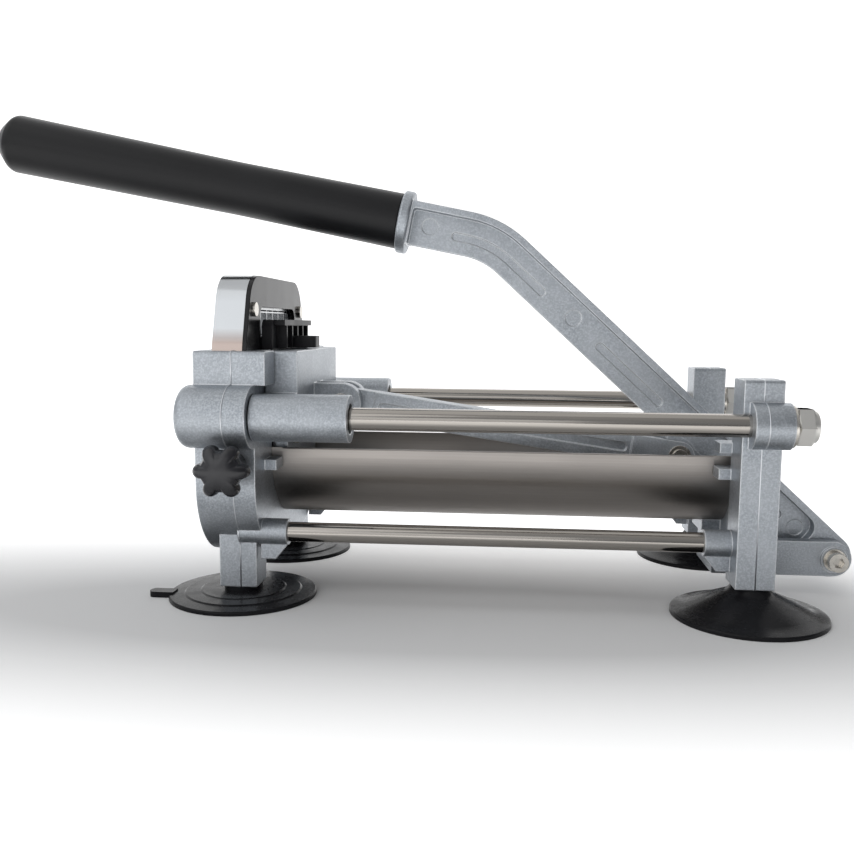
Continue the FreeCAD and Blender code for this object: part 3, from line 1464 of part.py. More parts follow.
def feet():
    front_profile = [
        ("0", "cup_hollow"),
        ("cup_radius - 6", "cup_hollow", "3"),
        ("cup_radius - 4", "0"),
        ("cup_radius", "0"),
        ("cup_radius", "cup_rim", "0.8"),
        ("front_cup_step", "cup_rim + 0.5"),
        ("front_cup_step - 1", "cup_rim + 1.1"),
        ("front_cup_step - 8", "cup_rim + 1.4"),
        ("front_cup_step - 9", "front_cup_height"),
        ("front_neck_radius", "front_cup_height + 0.2"),
        ("front_neck_radius", "front_leg_bottom"),
        ("0", "front_leg_bottom"),
    ]
    rear_profile = [
        ("0", "cup_hollow"),
        ("cup_radius - 6", "cup_hollow", "3"),
        ("cup_radius - 4", "0"),
        ("cup_radius", "0"),
        ("cup_radius", "cup_rim", "0.8"),
        ("cup_radius - 6", "cup_rim + 1.4", "20"),
        ("rear_neck_radius + 2", "rear_cup_height", "5"),
        ("rear_neck_radius", "post_bottom"),
        ("0", "post_bottom"),
    ]
    for label, side in (("near", "-"), ("far", "")):
        ear = "-1" if side else "1"
        suction_cup("suction_cup_front_" + label, "-front_leg_x", side + "front_leg_y",
                    front_profile, "front_leg_bottom", ear)
        suction_cup("suction_cup_rear_" + label, REAR_LEG_X, side + REAR_LEG_Y,
                    rear_profile, "post_bottom")
    studs = []
    for end, x, y, seat in (("front", "-front_leg_x", "front_leg_y", "front_leg_bottom"),
                            ("rear", REAR_LEG_X, REAR_LEG_Y, "post_bottom")):
        for label, side in (("near", "-"), ("far", "")):
            item = document.addObject("Part::Cylinder", "foot_stud_%s_%s" % (end, label))
            bind(item, "Radius", "cup_stud_radius")
            bind(item, "Height", "%s + cup_stud_length - cup_hollow - 1" % seat)
            bind(item, "Placement.Base.x", x)
            bind(item, "Placement.Base.y", side + y)
            bind(item, "Placement.Base.z", "cup_hollow + 1")
            studs.append(item)
    gathered("foot_studs", studs)


NODES = [
    "front_frame", "rear_frame", "upper_rod_near", "upper_rod_far", "lower_rod_near",
    "lower_rod_far", "rod_lock_nuts", "rod_washers", "lower_rod_screws", "trough",
    "cassette_frame", "cassette_band", "cassette_cover", "cassette_screws", "blade_ring",
    "blades_upright", "blades_level", "star_knob_near", "star_knob_far", "knob_stud_near",
    "knob_stud_far", "pusher_carriage", "carriage_bushes", "pusher_plate",
    "pusher_plate_screws", "carriage_pivot_screws", "lever", "grip", "link", "crank_pin",
    "crank_pin_clips", "pivot_bolt", "pivot_washers", "pivot_nut", "suction_cup_front_near",
    "suction_cup_front_far", "suction_cup_rear_near", "suction_cup_rear_far", "foot_studs",
]


def build():
    front_frame()
    rear_frame()
    for label, side in (("near", "-"), ("far", "")):
        upper_rod("upper_rod_" + label, side)
        tie_rod("lower_rod_" + label, side)
    rod_hardware()
    trough()
    cassette()
    blades()
    clamp_knob("star_knob_near", "near")
    clamp_knob("star_knob_far", "far")
    pusher_carriage()
    pusher_plate()
    yoke_screws()
    lever()
    grip()
    link()
    pivot_hardware()
    feet()
    document.recompute()


def check_and_write():
    for item in document.Objects:
        if "Invalid" in item.State or "Error" in item.State:
            raise ValueError("%s did not build: %s" % (item.Name, item.State))
    os.makedirs("parts", exist_ok=True)
    for name in NODES:
        item = document.getObjectsByLabel(name)[0]
        shape = item.Shape
        if shape.isNull() or not shape.isValid() or not shape.Solids:
            raise ValueError(name + " has no sound shape")
        shape.exportStep("parts/%s.step" % name)
        print("%-26s %2d solids %10.0f mm3" % (name, len(shape.Solids), shape.Volume))


build()
check_and_write()
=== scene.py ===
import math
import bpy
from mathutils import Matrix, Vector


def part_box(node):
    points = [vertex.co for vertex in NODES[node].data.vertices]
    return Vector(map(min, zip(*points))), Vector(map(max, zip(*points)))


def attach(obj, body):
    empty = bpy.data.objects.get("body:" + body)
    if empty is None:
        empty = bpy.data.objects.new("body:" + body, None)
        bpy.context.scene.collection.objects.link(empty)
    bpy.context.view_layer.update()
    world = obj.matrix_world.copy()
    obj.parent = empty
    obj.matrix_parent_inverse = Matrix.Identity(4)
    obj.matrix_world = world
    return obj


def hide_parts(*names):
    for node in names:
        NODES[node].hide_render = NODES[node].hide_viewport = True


bl_info = {
    "name": "French Fry Cutter",
    "version": (1, 0, 0),
    "blender": (4, 5, 0),
    "location": "View3D > Sidebar > Fry Cutter",
    "description": "Finishes and small fittings of a lever-operated french fry cutter",
    "category": "Object",
}

import bmesh
import bpy
from bpy.props import FloatProperty, FloatVectorProperty, IntProperty, PointerProperty
from mathutils import Matrix, Vector
from mathutils.bvhtree import BVHTree

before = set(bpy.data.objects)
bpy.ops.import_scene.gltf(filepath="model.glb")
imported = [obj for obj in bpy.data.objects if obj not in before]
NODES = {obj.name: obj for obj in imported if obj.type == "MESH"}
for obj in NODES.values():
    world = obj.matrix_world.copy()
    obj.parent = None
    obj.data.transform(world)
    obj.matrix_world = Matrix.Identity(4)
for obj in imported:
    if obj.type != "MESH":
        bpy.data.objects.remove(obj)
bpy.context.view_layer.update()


# Sizes and colours that a user would change

def colour(name, default, words):
    """A colour that the panel shows as a swatch."""
    return FloatVectorProperty(name=name, description=words, default=default, size=3,
                               min=0.0, max=1.0, subtype="COLOR")


def length(name, default, words):
    """A length in metres that the panel shows in the scene's units."""
    return FloatProperty(name=name, description=words, default=default, min=0.0,
                         subtype="DISTANCE", unit="LENGTH")


class CastingSettings(bpy.types.PropertyGroup):
    light: colour("Light metal", (0.50, 0.53, 0.565), "Aluminium where the casting skin is clean")
    dark: colour("Dark metal", (0.32, 0.345, 0.375), "Aluminium in the hollows of the grain")
    # The Rubbed edge colour is a painted highlight laid along every outer and inner edge of the
    # castings, as wide as Edge
    painted_edge_highlight: colour("Rubbed edge", (0.86, 0.88, 0.90), "Bare aluminium along the handled edges")
    grain: length("Grain", 0.0009, "Size of the blasted grain")
    edge: length("Edge", 0.0011, "Width of the rubbed bright edges")


class SteelSettings(bpy.types.PropertyGroup):
    rod: colour("Rod steel", (0.40, 0.375, 0.345), "Ground and polished guide rods")
    sheet: colour("Trough steel", (0.36, 0.335, 0.315), "Rolled stainless sheet")
    plate: colour("Plated steel", (0.66, 0.63, 0.58), "Nickel plated screws and nuts")
    blade: colour("Blade steel", (0.60, 0.61, 0.62), "Thin blades")
    bright: colour("Bright strip", (0.60, 0.62, 0.64), "Mirror polished strip of the cassette")


class PlasticSettings(bpy.types.PropertyGroup):
    gloss: colour("Gloss black", (0.008, 0.008, 0.009), "Knobs and the cassette's cover")
    satin: colour("Satin black", (0.014, 0.014, 0.016), "Cassette and pusher head")
    grip: colour("Grip black", (0.009, 0.009, 0.010), "Sleeve of the lever")
    rubber: colour("Rubber black", (0.008, 0.008, 0.009), "Suction feet")
    bush: colour("Bush white", (0.72, 0.70, 0.62), "Plain bearings of the carriage")


class FittingSettings(bpy.types.PropertyGroup):
    nut_flat: length("Nut flats", 0.0085, "Half the width across the lock nut's flats")
    nut_length: length("Nut length", 0.0085, "Length of the lock nut's hexagon")
    nut_collar: length("Nut collar", 0.002, "Length of the lock nut's round collar")
    seam_width: length("Seam width", 0.0007, "Width of the casting's parting line")
    knob_lobes: IntProperty(name="Knob lobes", description="Finger lobes round a star knob",
                            default=6, min=3, max=12)
    knob_valley: FloatProperty(name="Knob valleys", default=0.26, min=0.05, max=0.5,
                               description="Depth of the valleys as a share of the radius")


class StageSettings(bpy.types.PropertyGroup):
    floor: colour("Floor", (0.80, 0.80, 0.80), "Pale floor and backdrop")
    focal: FloatProperty(name="Focal length", description="Lens for a 36 mm wide frame",
                         default=37.826, min=10.0, max=300.0)
    key: FloatProperty(name="Key light", description="Power that the lamps share out, in watts",
                       default=4.7, min=0.0, max=500.0)


# Node trees

class Tree:
    """A node tree, with short ways to add nodes, fill their inputs and join them."""

    def __init__(self, tree):
        self.tree = tree

    def add(self, kind, inputs=None, **values):
        node = self.tree.nodes.new(kind)
        for key, value in values.items():
            setattr(node, key, value)
        for key, value in (inputs or {}).items():
            node.inputs[key].default_value = value
        return node

    def join(self, output, socket):
        self.tree.links.new(output, socket)


class Finish(Tree):
    """The node tree of one surface finish."""

    def __init__(self, name, **shader_values):
        self.material = bpy.data.materials.new(name)
        self.material.use_nodes = True
        super().__init__(self.material.node_tree)
        self.shader = self.tree.nodes["Principled BSDF"]
        for key, value in shader_values.items():
            self.shader.inputs[key.replace("_", " ")].default_value = value

    def coordinates(self, scale=(1, 1, 1), shift=(0, 0, 0)):
        """Object coordinates in metres, scaled and then shifted."""
        place = self.add("ShaderNodeTexCoord")
        mapping = self.add("ShaderNodeMapping", {"Scale": scale, "Location": shift})
        self.join(place.outputs["Object"], mapping.inputs["Vector"])
        return mapping.outputs["Vector"]

    def noise(self, vector, scale, detail=3.0, rough=0.55):
        node = self.add("ShaderNodeTexNoise", {"Scale": scale, "Detail": detail, "Roughness": rough})
        self.join(vector, node.inputs["Vector"])
        return node.outputs["Fac"]

    def ramp(self, value, low, high, first, second):
        """Values from low to high turned into numbers or colours from first to second."""
        node = self.add("ShaderNodeMapRange", {"From Min": low, "From Max": high}, clamp=True)
        self.join(value, node.inputs["Value"])
        if isinstance(first, (int, float)):
            node.inputs["To Min"].default_value = first
            node.inputs["To Max"].default_value = second
            return node.outputs["Result"]
        mix = self.add("ShaderNodeMix", {"A": (*first, 1), "B": (*second, 1)}, data_type="RGBA")
        self.join(node.outputs["Result"], mix.inputs["Factor"])
        return mix.outputs["Result"]

    def spread(self, noise, first, second, margin=0.2):
        """The middle stretch of a noise turned into numbers or colours."""
        return self.ramp(noise, 0.5 - margin, 0.5 + margin, first, second)

    def mix(self, factor, first, second):
        """One colour output laid over by a second output or a plain colour."""
        node = self.add("ShaderNodeMix", data_type="RGBA")
        self.join(factor, node.inputs["Factor"])
        self.join(first, node.inputs["A"])
        if isinstance(second, bpy.types.NodeSocket):
            self.join(second, node.inputs["B"])
        else:
            node.inputs["B"].default_value = (*second, 1)
        return node.outputs["Result"]

    def bump(self, height, depth, strength=1.0, normal=None):
        node = self.add("ShaderNodeBump", {"Distance": depth, "Strength": strength})
        self.join(height, node.inputs["Height"])
        if normal is not None:
            self.join(normal, node.inputs["Normal"])
        return node.outputs["Normal"]

    def rounded(self, radius):
        """Normals of the surface as if its edges were rounded."""
        return self.add("ShaderNodeBevel", {"Radius": radius}, samples=6).outputs["Normal"]

    def edge(self, radius):
        """One near an outer or inner edge, nought on the flats."""
        geometry = self.add("ShaderNodeNewGeometry")
        dot = self.add("ShaderNodeVectorMath", operation="DOT_PRODUCT")
        self.join(self.rounded(radius), dot.inputs[0])
        self.join(geometry.outputs["Normal"], dot.inputs[1])
        flat_enough, on_the_edge = 0.995, 0.86
        return self.ramp(dot.outputs["Value"], flat_enough, on_the_edge, 0.0, 1.0)

    def done(self, tone, rough=None, normal=None):
        """Join what is given to the shader and hand over the finished material."""
        for output, socket in ((tone, "Base Color"), (rough, "Roughness"), (normal, "Normal")):
            if output is not None:
                self.join(output, self.shader.inputs[socket])
        return self.material


def shade(tone, factor):
    """The colour made darker or lighter by a factor."""
    return tuple(c * factor for c in tone)


# Finishes

def cast_aluminium(s):
    n = Finish("cast_aluminium", Metallic=0.82)
    place = n.coordinates()
    grain = n.noise(place, 1.0 / s.grain, detail=2.0, rough=0.6)
    cloud = n.noise(place, 45.0)
    skin = n.spread(cloud, tuple(s.dark), tuple(s.light), margin=0.15)
    speck = n.spread(grain, shade(s.dark, 0.9), tuple(s.light), margin=0.12)
    mixed = n.mix(n.spread(grain, 0.35, 0.75), skin, speck)
    # Painted highlight: the edge colour laid over the metal along every outer and inner edge
    painted_edge_highlight = n.mix(n.edge(s.edge), mixed, s.painted_edge_highlight)
    normal = n.bump(grain, 0.00016, 0.8, n.rounded(s.edge * 0.7))
    return n.done(painted_edge_highlight, n.spread(cloud, 0.34, 0.48), normal)


def polished_rod(s):
    n = Finish("polished_steel", Metallic=1.0)
    grind = n.noise(n.coordinates((6, 400, 400)), 3.0, detail=2.0)
    tone = n.spread(grind, shade(s.rod, 0.93), tuple(s.rod))
    return n.done(tone, n.spread(grind, 0.09, 0.17), n.bump(grind, 0.00002, 0.4))


def plated_steel(s):
    n = Finish("plated_steel", Metallic=1.0)
    cloud = n.noise(n.coordinates(), 260.0, detail=2.0)
    tone = n.spread(cloud, shade(s.plate, 0.86), tuple(s.plate), margin=0.15)
    return n.done(tone, n.spread(cloud, 0.18, 0.3), n.rounded(0.0004))


def trough_sheet(s):
    n = Finish("stainless_sheet", Metallic=1.0, Anisotropic=0.35)
    brush = n.noise(n.coordinates((8, 900, 900)), 1.6)
    cloud = n.noise(n.coordinates(), 18.0, detail=2.0)
    tone = n.spread(brush, shade(s.sheet, 0.92), tuple(s.sheet))
    return n.done(tone, n.spread(cloud, 0.34, 0.42), n.bump(brush, 0.00003, 0.35))


def blade_steel(s):
    n = Finish("blade_steel", Metallic=1.0)
    brush = n.noise(n.coordinates((900, 40, 40)), 1.0, detail=2.0)
    tone = n.spread(brush, shade(s.blade, 0.85), tuple(s.blade))
    return n.done(tone, n.spread(brush, 0.2, 0.32))


# Depths below the strip's top, in metres: from the painted warm reflection low on the strip to
# bright, and from bright to the painted shade at the top
STRIP_PAINTED_REFLECTION_ENDS = (0.034, 0.027)
STRIP_SHADE_BEGINS = (0.014, 0.005)
# Shares of the bright colour: in the painted warm reflection, in the painted shade, and how far the
# painted shade covers it
STRIP_PAINTED_REFLECTION_TINT = (0.62, 0.50, 0.44)
STRIP_SHADE = 0.6
STRIP_COVER = 0.6


def bright_strip(s):
    n = Finish("band_chrome", Metallic=1.0)
    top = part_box("cassette_band")[1].z
    place = n.coordinates()
    height = n.add("ShaderNodeSeparateXYZ")
    n.join(place, height.inputs["Vector"])
    # Painted reflection: a warm brown tone on the lower part of the strip; painted shade: darker
    # towards the top
    warm = tuple(c * k for c, k in zip(s.bright, STRIP_PAINTED_REFLECTION_TINT))
    low, high = (top - depth for depth in STRIP_PAINTED_REFLECTION_ENDS)
    rise = n.ramp(height.outputs["Z"], low, high, warm, tuple(s.bright))
    low, high = (top - depth for depth in STRIP_SHADE_BEGINS)
    fade = n.ramp(height.outputs["Z"], low, high, 0.0, STRIP_COVER)
    cloud = n.noise(place, 30.0, detail=2.0)
    tone = n.mix(fade, rise, shade(s.bright, STRIP_SHADE))
    return n.done(tone, n.spread(cloud, 0.14, 0.2), n.bump(cloud, 0.0006, 0.25))


def gloss_plastic(s):
    n = Finish("black_gloss_plastic", Specular_IOR_Level=0.25)
    cloud = n.noise(n.coordinates(), 70.0)
    tone = n.spread(cloud, tuple(s.gloss), shade(s.gloss, 1.6))
    normal = n.bump(cloud, 0.0003, 0.12, n.rounded(0.0007))
    return n.done(tone, n.spread(cloud, 0.16, 0.24), normal)


def satin_plastic(s):
    n = Finish("black_plastic", Specular_IOR_Level=0.2)
    fine = n.noise(n.coordinates(), 1500.0, detail=2.0)
    cloud = n.noise(n.coordinates(), 60.0, detail=2.0)
    tone = n.spread(cloud, tuple(s.satin), shade(s.satin, 1.5))
    normal = n.bump(fine, 0.00006, 0.5, n.rounded(0.0005))
    return n.done(tone, n.spread(cloud, 0.32, 0.42), normal)


def grip_sleeve(s):
    n = Finish("grip_black", Specular_IOR_Level=0.25)
    fine = n.noise(n.coordinates(), 1100.0, rough=0.65)
    cloud = n.noise(n.coordinates(), 22.0, detail=2.0)
    tone = n.spread(cloud, tuple(s.grip), shade(s.grip, 1.5))
    return n.done(tone, n.spread(cloud, 0.34, 0.42), n.bump(fine, 0.00006, 0.4))


def cup_rubber(s):
    n = Finish("cup_rubber", Specular_IOR_Level=0.12)
    cloud = n.noise(n.coordinates(), 40.0)
    smear = n.noise(n.coordinates((1, 1, 3)), 90.0, detail=4.0, rough=0.7)
    tone = n.spread(cloud, tuple(s.rubber), shade(s.rubber, 2.0))
    rough = n.spread(smear, 0.18, 0.34, margin=0.15)
    return n.done(tone, rough, n.bump(smear, 0.0002, 0.12))


def bush_plastic(s):
    n = Finish("bush_plastic")
    cloud = n.noise(n.coordinates(), 200.0, detail=2.0)
    tone = n.spread(cloud, shade(s.bush, 0.9), tuple(s.bush))
    return n.done(tone, n.spread(cloud, 0.45, 0.55))


def wear(names, material):
    """Give the finish to the framed pieces, leaving their shape alone."""
    for name in names:
        data = NODES[name].data
        data.materials.clear()
        data.materials.append(material)


class FRYCUTTER_OT_castings(bpy.types.Operator):
    """Grainy cast aluminium on the frames, lever, link and carriage"""
    bl_idname = "frycutter.castings"
    bl_label = "Castings"

    def execute(self, context):
        metal = cast_aluminium(context.scene.frycutter_casting)
        wear(["front_frame", "rear_frame", "lever", "link", "pusher_carriage"], metal)
        return {"FINISHED"}


class FRYCUTTER_OT_steel(bpy.types.Operator):
    """Rods, trough, blades, the cassette's strip and all plated hardware"""
    bl_idname = "frycutter.steel"
    bl_label = "Steel parts"

    def execute(self, context):
        s = context.scene.frycutter_steel
        wear(["upper_rod_near", "upper_rod_far", "lower_rod_near", "lower_rod_far"],
             polished_rod(s))
        wear(["trough"], trough_sheet(s))
        wear(["blade_ring", "blades_upright", "blades_level"], blade_steel(s))
        wear(["cassette_band"], bright_strip(s))
        wear(["rod_lock_nuts", "rod_washers", "lower_rod_screws", "cassette_screws",
              "pusher_plate_screws", "carriage_pivot_screws", "crank_pin", "crank_pin_clips",
              "pivot_bolt", "pivot_washers", "pivot_nut", "foot_studs", "knob_stud_near",
              "knob_stud_far"], plated_steel(s))
        return {"FINISHED"}


class FRYCUTTER_OT_plastics(bpy.types.Operator):
    """Black plastics, the grip's sleeve, rubber feet and bushes"""
    bl_idname = "frycutter.plastics"
    bl_label = "Plastics and rubber"

    def execute(self, context):
        s = context.scene.frycutter_plastic
        wear(["star_knob_near", "star_knob_far", "cassette_cover"], gloss_plastic(s))
        wear(["cassette_frame", "pusher_plate"], satin_plastic(s))
        wear(["grip"], grip_sleeve(s))
        wear(["suction_cup_front_near", "suction_cup_front_far", "suction_cup_rear_near",
              "suction_cup_rear_far"], cup_rubber(s))
        wear(["carriage_bushes"], bush_plastic(s))
        return {"FINISHED"}


# Ways to make a mesh

def frame_material(name):
    """The plain material that the frame brought in, which a made finish shares its name with."""
    return bpy.data.materials[name]


def middle(name):
    """The centre of a framed piece."""
    low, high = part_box(name)
    return (low + high) / 2


def as_object(name, data):
    """A new object at the origin, linked to the scene."""
    item = bpy.data.objects.new(name, data)
    bpy.context.scene.collection.objects.link(item)
    return item


def as_mesh(name, built, smooth=False):
    """The worked shape written out as a mesh, and its workspace freed."""
    mesh = bpy.data.meshes.new(name)
    built.to_mesh(mesh)
    built.free()
    if smooth:
        mesh.polygons.foreach_set("use_smooth", [True] * len(mesh.polygons))
    return mesh


def join_rings(built, rings):
    """Faces between each ring of points and the next one."""
    for first, second in zip(rings, rings[1:]):
        for i in range(len(first)):
            j = (i + 1) % len(first)
            built.faces.new((first[i], first[j], second[j], second[i]))


def around(steps):
    """Evenly spaced angles of a full turn."""
    return [2 * math.pi * i / steps for i in range(steps)]


def off_centre(angle, sector):
    """How far an angle is from the middle of the sector that it falls in."""
    return (angle + sector / 2) % sector - sector / 2


class Growth(Tree):
    """A Geometry Nodes tree that ends in real geometry with a material."""

    def __init__(self, name, inputs):
        super().__init__(bpy.data.node_groups.new(name, "GeometryNodeTree"))
        interface = self.tree.interface
        self.sockets = {}
        for label, kind in inputs:
            socket = interface.new_socket(label, in_out="INPUT", socket_type=kind)
            self.sockets[label] = socket.identifier
        interface.new_socket("Geometry", in_out="OUTPUT", socket_type="NodeSocketGeometry")
        self.given = self.add("NodeGroupInput").outputs

    def end(self, geometry, material):
        """Make the shapes real, give them the material and hand over the finished tree."""
        real = self.add("GeometryNodeRealizeInstances")
        paint = self.add("GeometryNodeSetMaterial", {"Material": material})
        result = self.add("NodeGroupOutput")
        self.join(geometry, real.inputs["Geometry"])
        self.join(real.outputs["Geometry"], paint.inputs["Geometry"])
        self.join(paint.outputs["Geometry"], result.inputs["Geometry"])
        return self

    def grow(self, name, source, **values):
        """Run the tree on an object and keep the result as a plain mesh at the origin."""
        modifier = source.modifiers.new("growth", "NODES")
        modifier.node_group = self.tree
        for label, value in values.items():
            modifier[self.sockets[label]] = value
        graph = bpy.context.evaluated_depsgraph_get()
        mesh = bpy.data.meshes.new_from_object(source.evaluated_get(graph))
        bpy.data.objects.remove(source)
        return as_object(name, mesh)


# Lock nuts

NUT_STEPS = 60
# Heights of the small forms along the nut's axis, in metres
NUT_LIP = 0.0002
NUT_CHAMFER = 0.0011
NUT_BACK_CHAMFER = 0.0012
COLLAR_ROUND = 0.0006
# The bore as a share of the rod, so that the nut hugs it
BORE_SHARE = 0.9
# Round sections wider than this share of the flats are cut by them
CUT_BY_FLATS = 0.9
# Reach of the tiny faces that carry the copies, in metres
FACET = 1e-5


class FRYCUTTER_OT_lock_nuts(bpy.types.Operator):
    """Chamfered lock nuts at the ends of the guide rods"""
    bl_idname = "frycutter.lock_nuts"
    bl_label = "Lock nuts"

    def execute(self, context):
        unit = as_object("nut_unit", nut_mesh(context.scene.frycutter_fitting))
        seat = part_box("rod_lock_nuts")[0].x
        height = middle("rod_lock_nuts").z
        rods = ("upper_rod_near", "upper_rod_far")
        places = [(Vector((seat, middle(rod).y, height)), Vector((1, 0, 0))) for rod in rods]
        copies = copies_tree(frame_material("plated_steel"))
        piece = copies.grow("lock_nuts_chamfered", as_object("nut_places", facets(places)),
                            Unit=unit, Size=1.0)
        bpy.data.objects.remove(unit)
        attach(piece, "frame")
        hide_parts("rod_lock_nuts")
        return {"FINISHED"}


def nut_mesh(s):
    """A hexagon nut with a round collar about Z, bored for the rod."""
    low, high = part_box("upper_rod_near")
    bore = (high - low).z / 2 * BORE_SHARE
    corner = s.nut_flat / math.cos(math.pi / 6)
    hexagon, top = s.nut_length, s.nut_length + s.nut_collar
    # Radius, height and whether the section is round, from the bore outwards and back
    profile = [
        (bore, NUT_LIP, True), (s.nut_flat * 0.96, 0.0, True),
        (corner, NUT_CHAMFER, False), (corner, hexagon - NUT_BACK_CHAMFER, False),
        (s.nut_flat * 0.98, hexagon, True), (s.nut_flat * 0.90, hexagon + NUT_LIP, True),
        (s.nut_flat * 0.88, top - COLLAR_ROUND, True), (s.nut_flat * 0.80, top, True),
        (bore, top, True),
    ]
    built = bmesh.new()
    rings = []
    for radius, height, is_round in profile:
        circle = []
        for angle in around(NUT_STEPS):
            reach = radius
            if not is_round or radius > s.nut_flat * CUT_BY_FLATS:
                reach = min(radius, s.nut_flat / math.cos(off_centre(angle, math.pi / 3)))
            circle.append(built.verts.new((reach * math.cos(angle), reach * math.sin(angle), height)))
        rings.append(circle)
    join_rings(built, rings + rings[:1])
    bmesh.ops.recalc_face_normals(built, faces=built.faces)
    return as_mesh("nut", built)


def facets(places):
    """A mesh of tiny faces, one at each place and facing its direction, to carry the copies."""
    built = bmesh.new()
    for place, direction in places:
        side = direction.orthogonal().normalized() * FACET
        other = direction.cross(side)
        corners = [place + side, place + other, place - side - other]
        built.faces.new([built.verts.new(c) for c in corners])
    built.normal_update()
    return as_mesh("places", built)


def copies_tree(material):
    """A tree that puts a unit shape on every point of a mesh, turned by its normal."""
    tree = Growth("lock_nut_copies", [("Points", "NodeSocketGeometry"),
                                      ("Unit", "NodeSocketObject"), ("Size", "NodeSocketFloat")])
    info = tree.add("GeometryNodeObjectInfo")
    put = tree.add("GeometryNodeInstanceOnPoints")
    normal = tree.add("GeometryNodeInputNormal")
    turn = tree.add("FunctionNodeAlignEulerToVector", axis="Z")
    tree.join(tree.given["Unit"], info.inputs["Object"])
    tree.join(tree.given["Points"], put.inputs["Points"])
    tree.join(info.outputs["Geometry"], put.inputs["Instance"])
    tree.join(normal.outputs["Normal"], turn.inputs["Vector"])
    tree.join(turn.outputs["Rotation"], put.inputs["Rotation"])
    tree.join(tree.given["Size"], put.inputs["Scale"])
    return tree.end(put.outputs["Instances"], material)


# Star knobs

LOBE_STEPS = 24
# Half of what the core swells by under a lobe, as a share of the radius
CORE_SWELL = 0.03
# Share of the knob's length, share of its radius and how much of the lobes shows
KNOB_PROFILE = [
    (0.0, 0.555, 0.0), (0.47, 0.555, 0.0), (0.49, 0.62, 0.1), (0.505, 0.78, 0.6),
    (0.525, 0.91, 0.9), (0.56, 0.98, 1.0), (0.61, 1.0, 1.0), (0.72, 1.0, 1.0),
    (0.79, 0.975, 1.0), (0.845, 0.91, 0.95), (0.89, 0.81, 0.8), (0.925, 0.69, 0.55),
    (0.955, 0.53, 0.3), (0.98, 0.34, 0.1), (0.995, 0.14, 0.0),
]


class FRYCUTTER_OT_star_knobs(bpy.types.Operator):
    """Smooth domed star knobs of the cassette's clamp screws"""
    bl_idname = "frycutter.star_knobs"
    bl_label = "Star knobs"

    def execute(self, context):
        s = context.scene.frycutter_fitting
        for side, facing in (("near", -1), ("far", 1)):
            node = "star_knob_" + side
            piece = as_object("smooth_knob_" + side, knob_mesh(node, facing, s))
            piece.data.materials.append(frame_material("black_gloss_plastic"))
            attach(piece, "knob_" + side)
            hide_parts(node)
        return {"FINISHED"}


def lobe_reach(angle, s):
    """Reach of the star outline at an angle, as a share of its radius: round lobes on a core."""
    off = off_centre(angle, 2 * math.pi / s.knob_lobes)
    core = 1 - s.knob_valley
    round_part = s.knob_valley ** 2 - (core * math.sin(off)) ** 2
    lobe = core * math.cos(off) + math.sqrt(round_part) if round_part > 0 else 0.0
    return max(lobe, core + CORE_SWELL * (1 + math.cos(s.knob_lobes * off)))


def knob_mesh(node, facing, s):
    """A star knob about the Y axis, from its seat at the frame to the dome."""
    low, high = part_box(node)
    centre = middle(node)
    radius = (high.x - low.x) / 2
    seat, top = (high.y, low.y) if facing < 0 else (low.y, high.y)
    built = bmesh.new()
    rings = []
    for share, reach, lobes in KNOB_PROFILE:
        circle = []
        for angle in around(LOBE_STEPS * s.knob_lobes):
            out = radius * reach * (1 - lobes * (1 - lobe_reach(angle, s)))
            circle.append(built.verts.new((centre.x + out * math.cos(angle),
                                           seat + (top - seat) * share,
                                           centre.z + out * math.sin(angle))))
        rings.append(circle)
    join_rings(built, rings)
    for ring, height in ((rings[0], seat), (rings[-1], top)):
        tip = built.verts.new((centre.x, height, centre.z))
        for first, second in zip(ring, ring[1:] + ring[:1]):
            built.faces.new((first, second, tip))
    bmesh.ops.recalc_face_normals(built, faces=built.faces)
    return as_mesh("knob", built, smooth=True)


# Parting lines of the castings

BEAD_SIDES = 8
# Distances in metres: points of the casting and of the line that count as one, the height left
# free round the knob's stud, and where the look outwards starts
WELD = 1e-6
LINE_WELD = 1e-5
CLEAR_OF_STUD = 0.008
OFF_THE_SKIN = 0.0004


class FRYCUTTER_OT_parting_seam(bpy.types.Operator):
    """Thin raised parting lines round both frame castings"""
    bl_idname = "frycutter.parting_seam"
    bl_label = "Parting seam"

    def execute(self, context):
        width = context.scene.frycutter_fitting.seam_width
        bead = bead_tree(frame_material("cast_aluminium"))
        planes = (("front_frame", middle("knob_stud_near").x),
                  ("rear_frame", middle("suction_cup_rear_near").x))
        for node, plane in planes:
            line = as_object(node + "_line", outer_section(node, plane))
            piece = bead.grow(node + "_seam", line, Width=width)
            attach(piece, "frame")
        return {"FINISHED"}


def bead_tree(material):
    """A tree that turns a mesh's edges into a thin round bead."""
    tree = Growth("seam_bead", [("Line", "NodeSocketGeometry"), ("Width", "NodeSocketFloat")])
    curve = tree.add("GeometryNodeMeshToCurve")
    circle = tree.add("GeometryNodeCurvePrimitiveCircle", {"Resolution": BEAD_SIDES})
    half = tree.add("ShaderNodeMath", {1: 0.5}, operation="MULTIPLY")
    sweep = tree.add("GeometryNodeCurveToMesh", {"Fill Caps": True})
    tree.join(tree.given["Line"], curve.inputs["Mesh"])
    tree.join(tree.given["Width"], half.inputs[0])
    tree.join(half.outputs["Value"], circle.inputs["Radius"])
    tree.join(curve.outputs["Curve"], sweep.inputs["Curve"])
    tree.join(circle.outputs["Curve"], sweep.inputs["Profile Curve"])
    return tree.end(sweep.outputs["Mesh"], material)


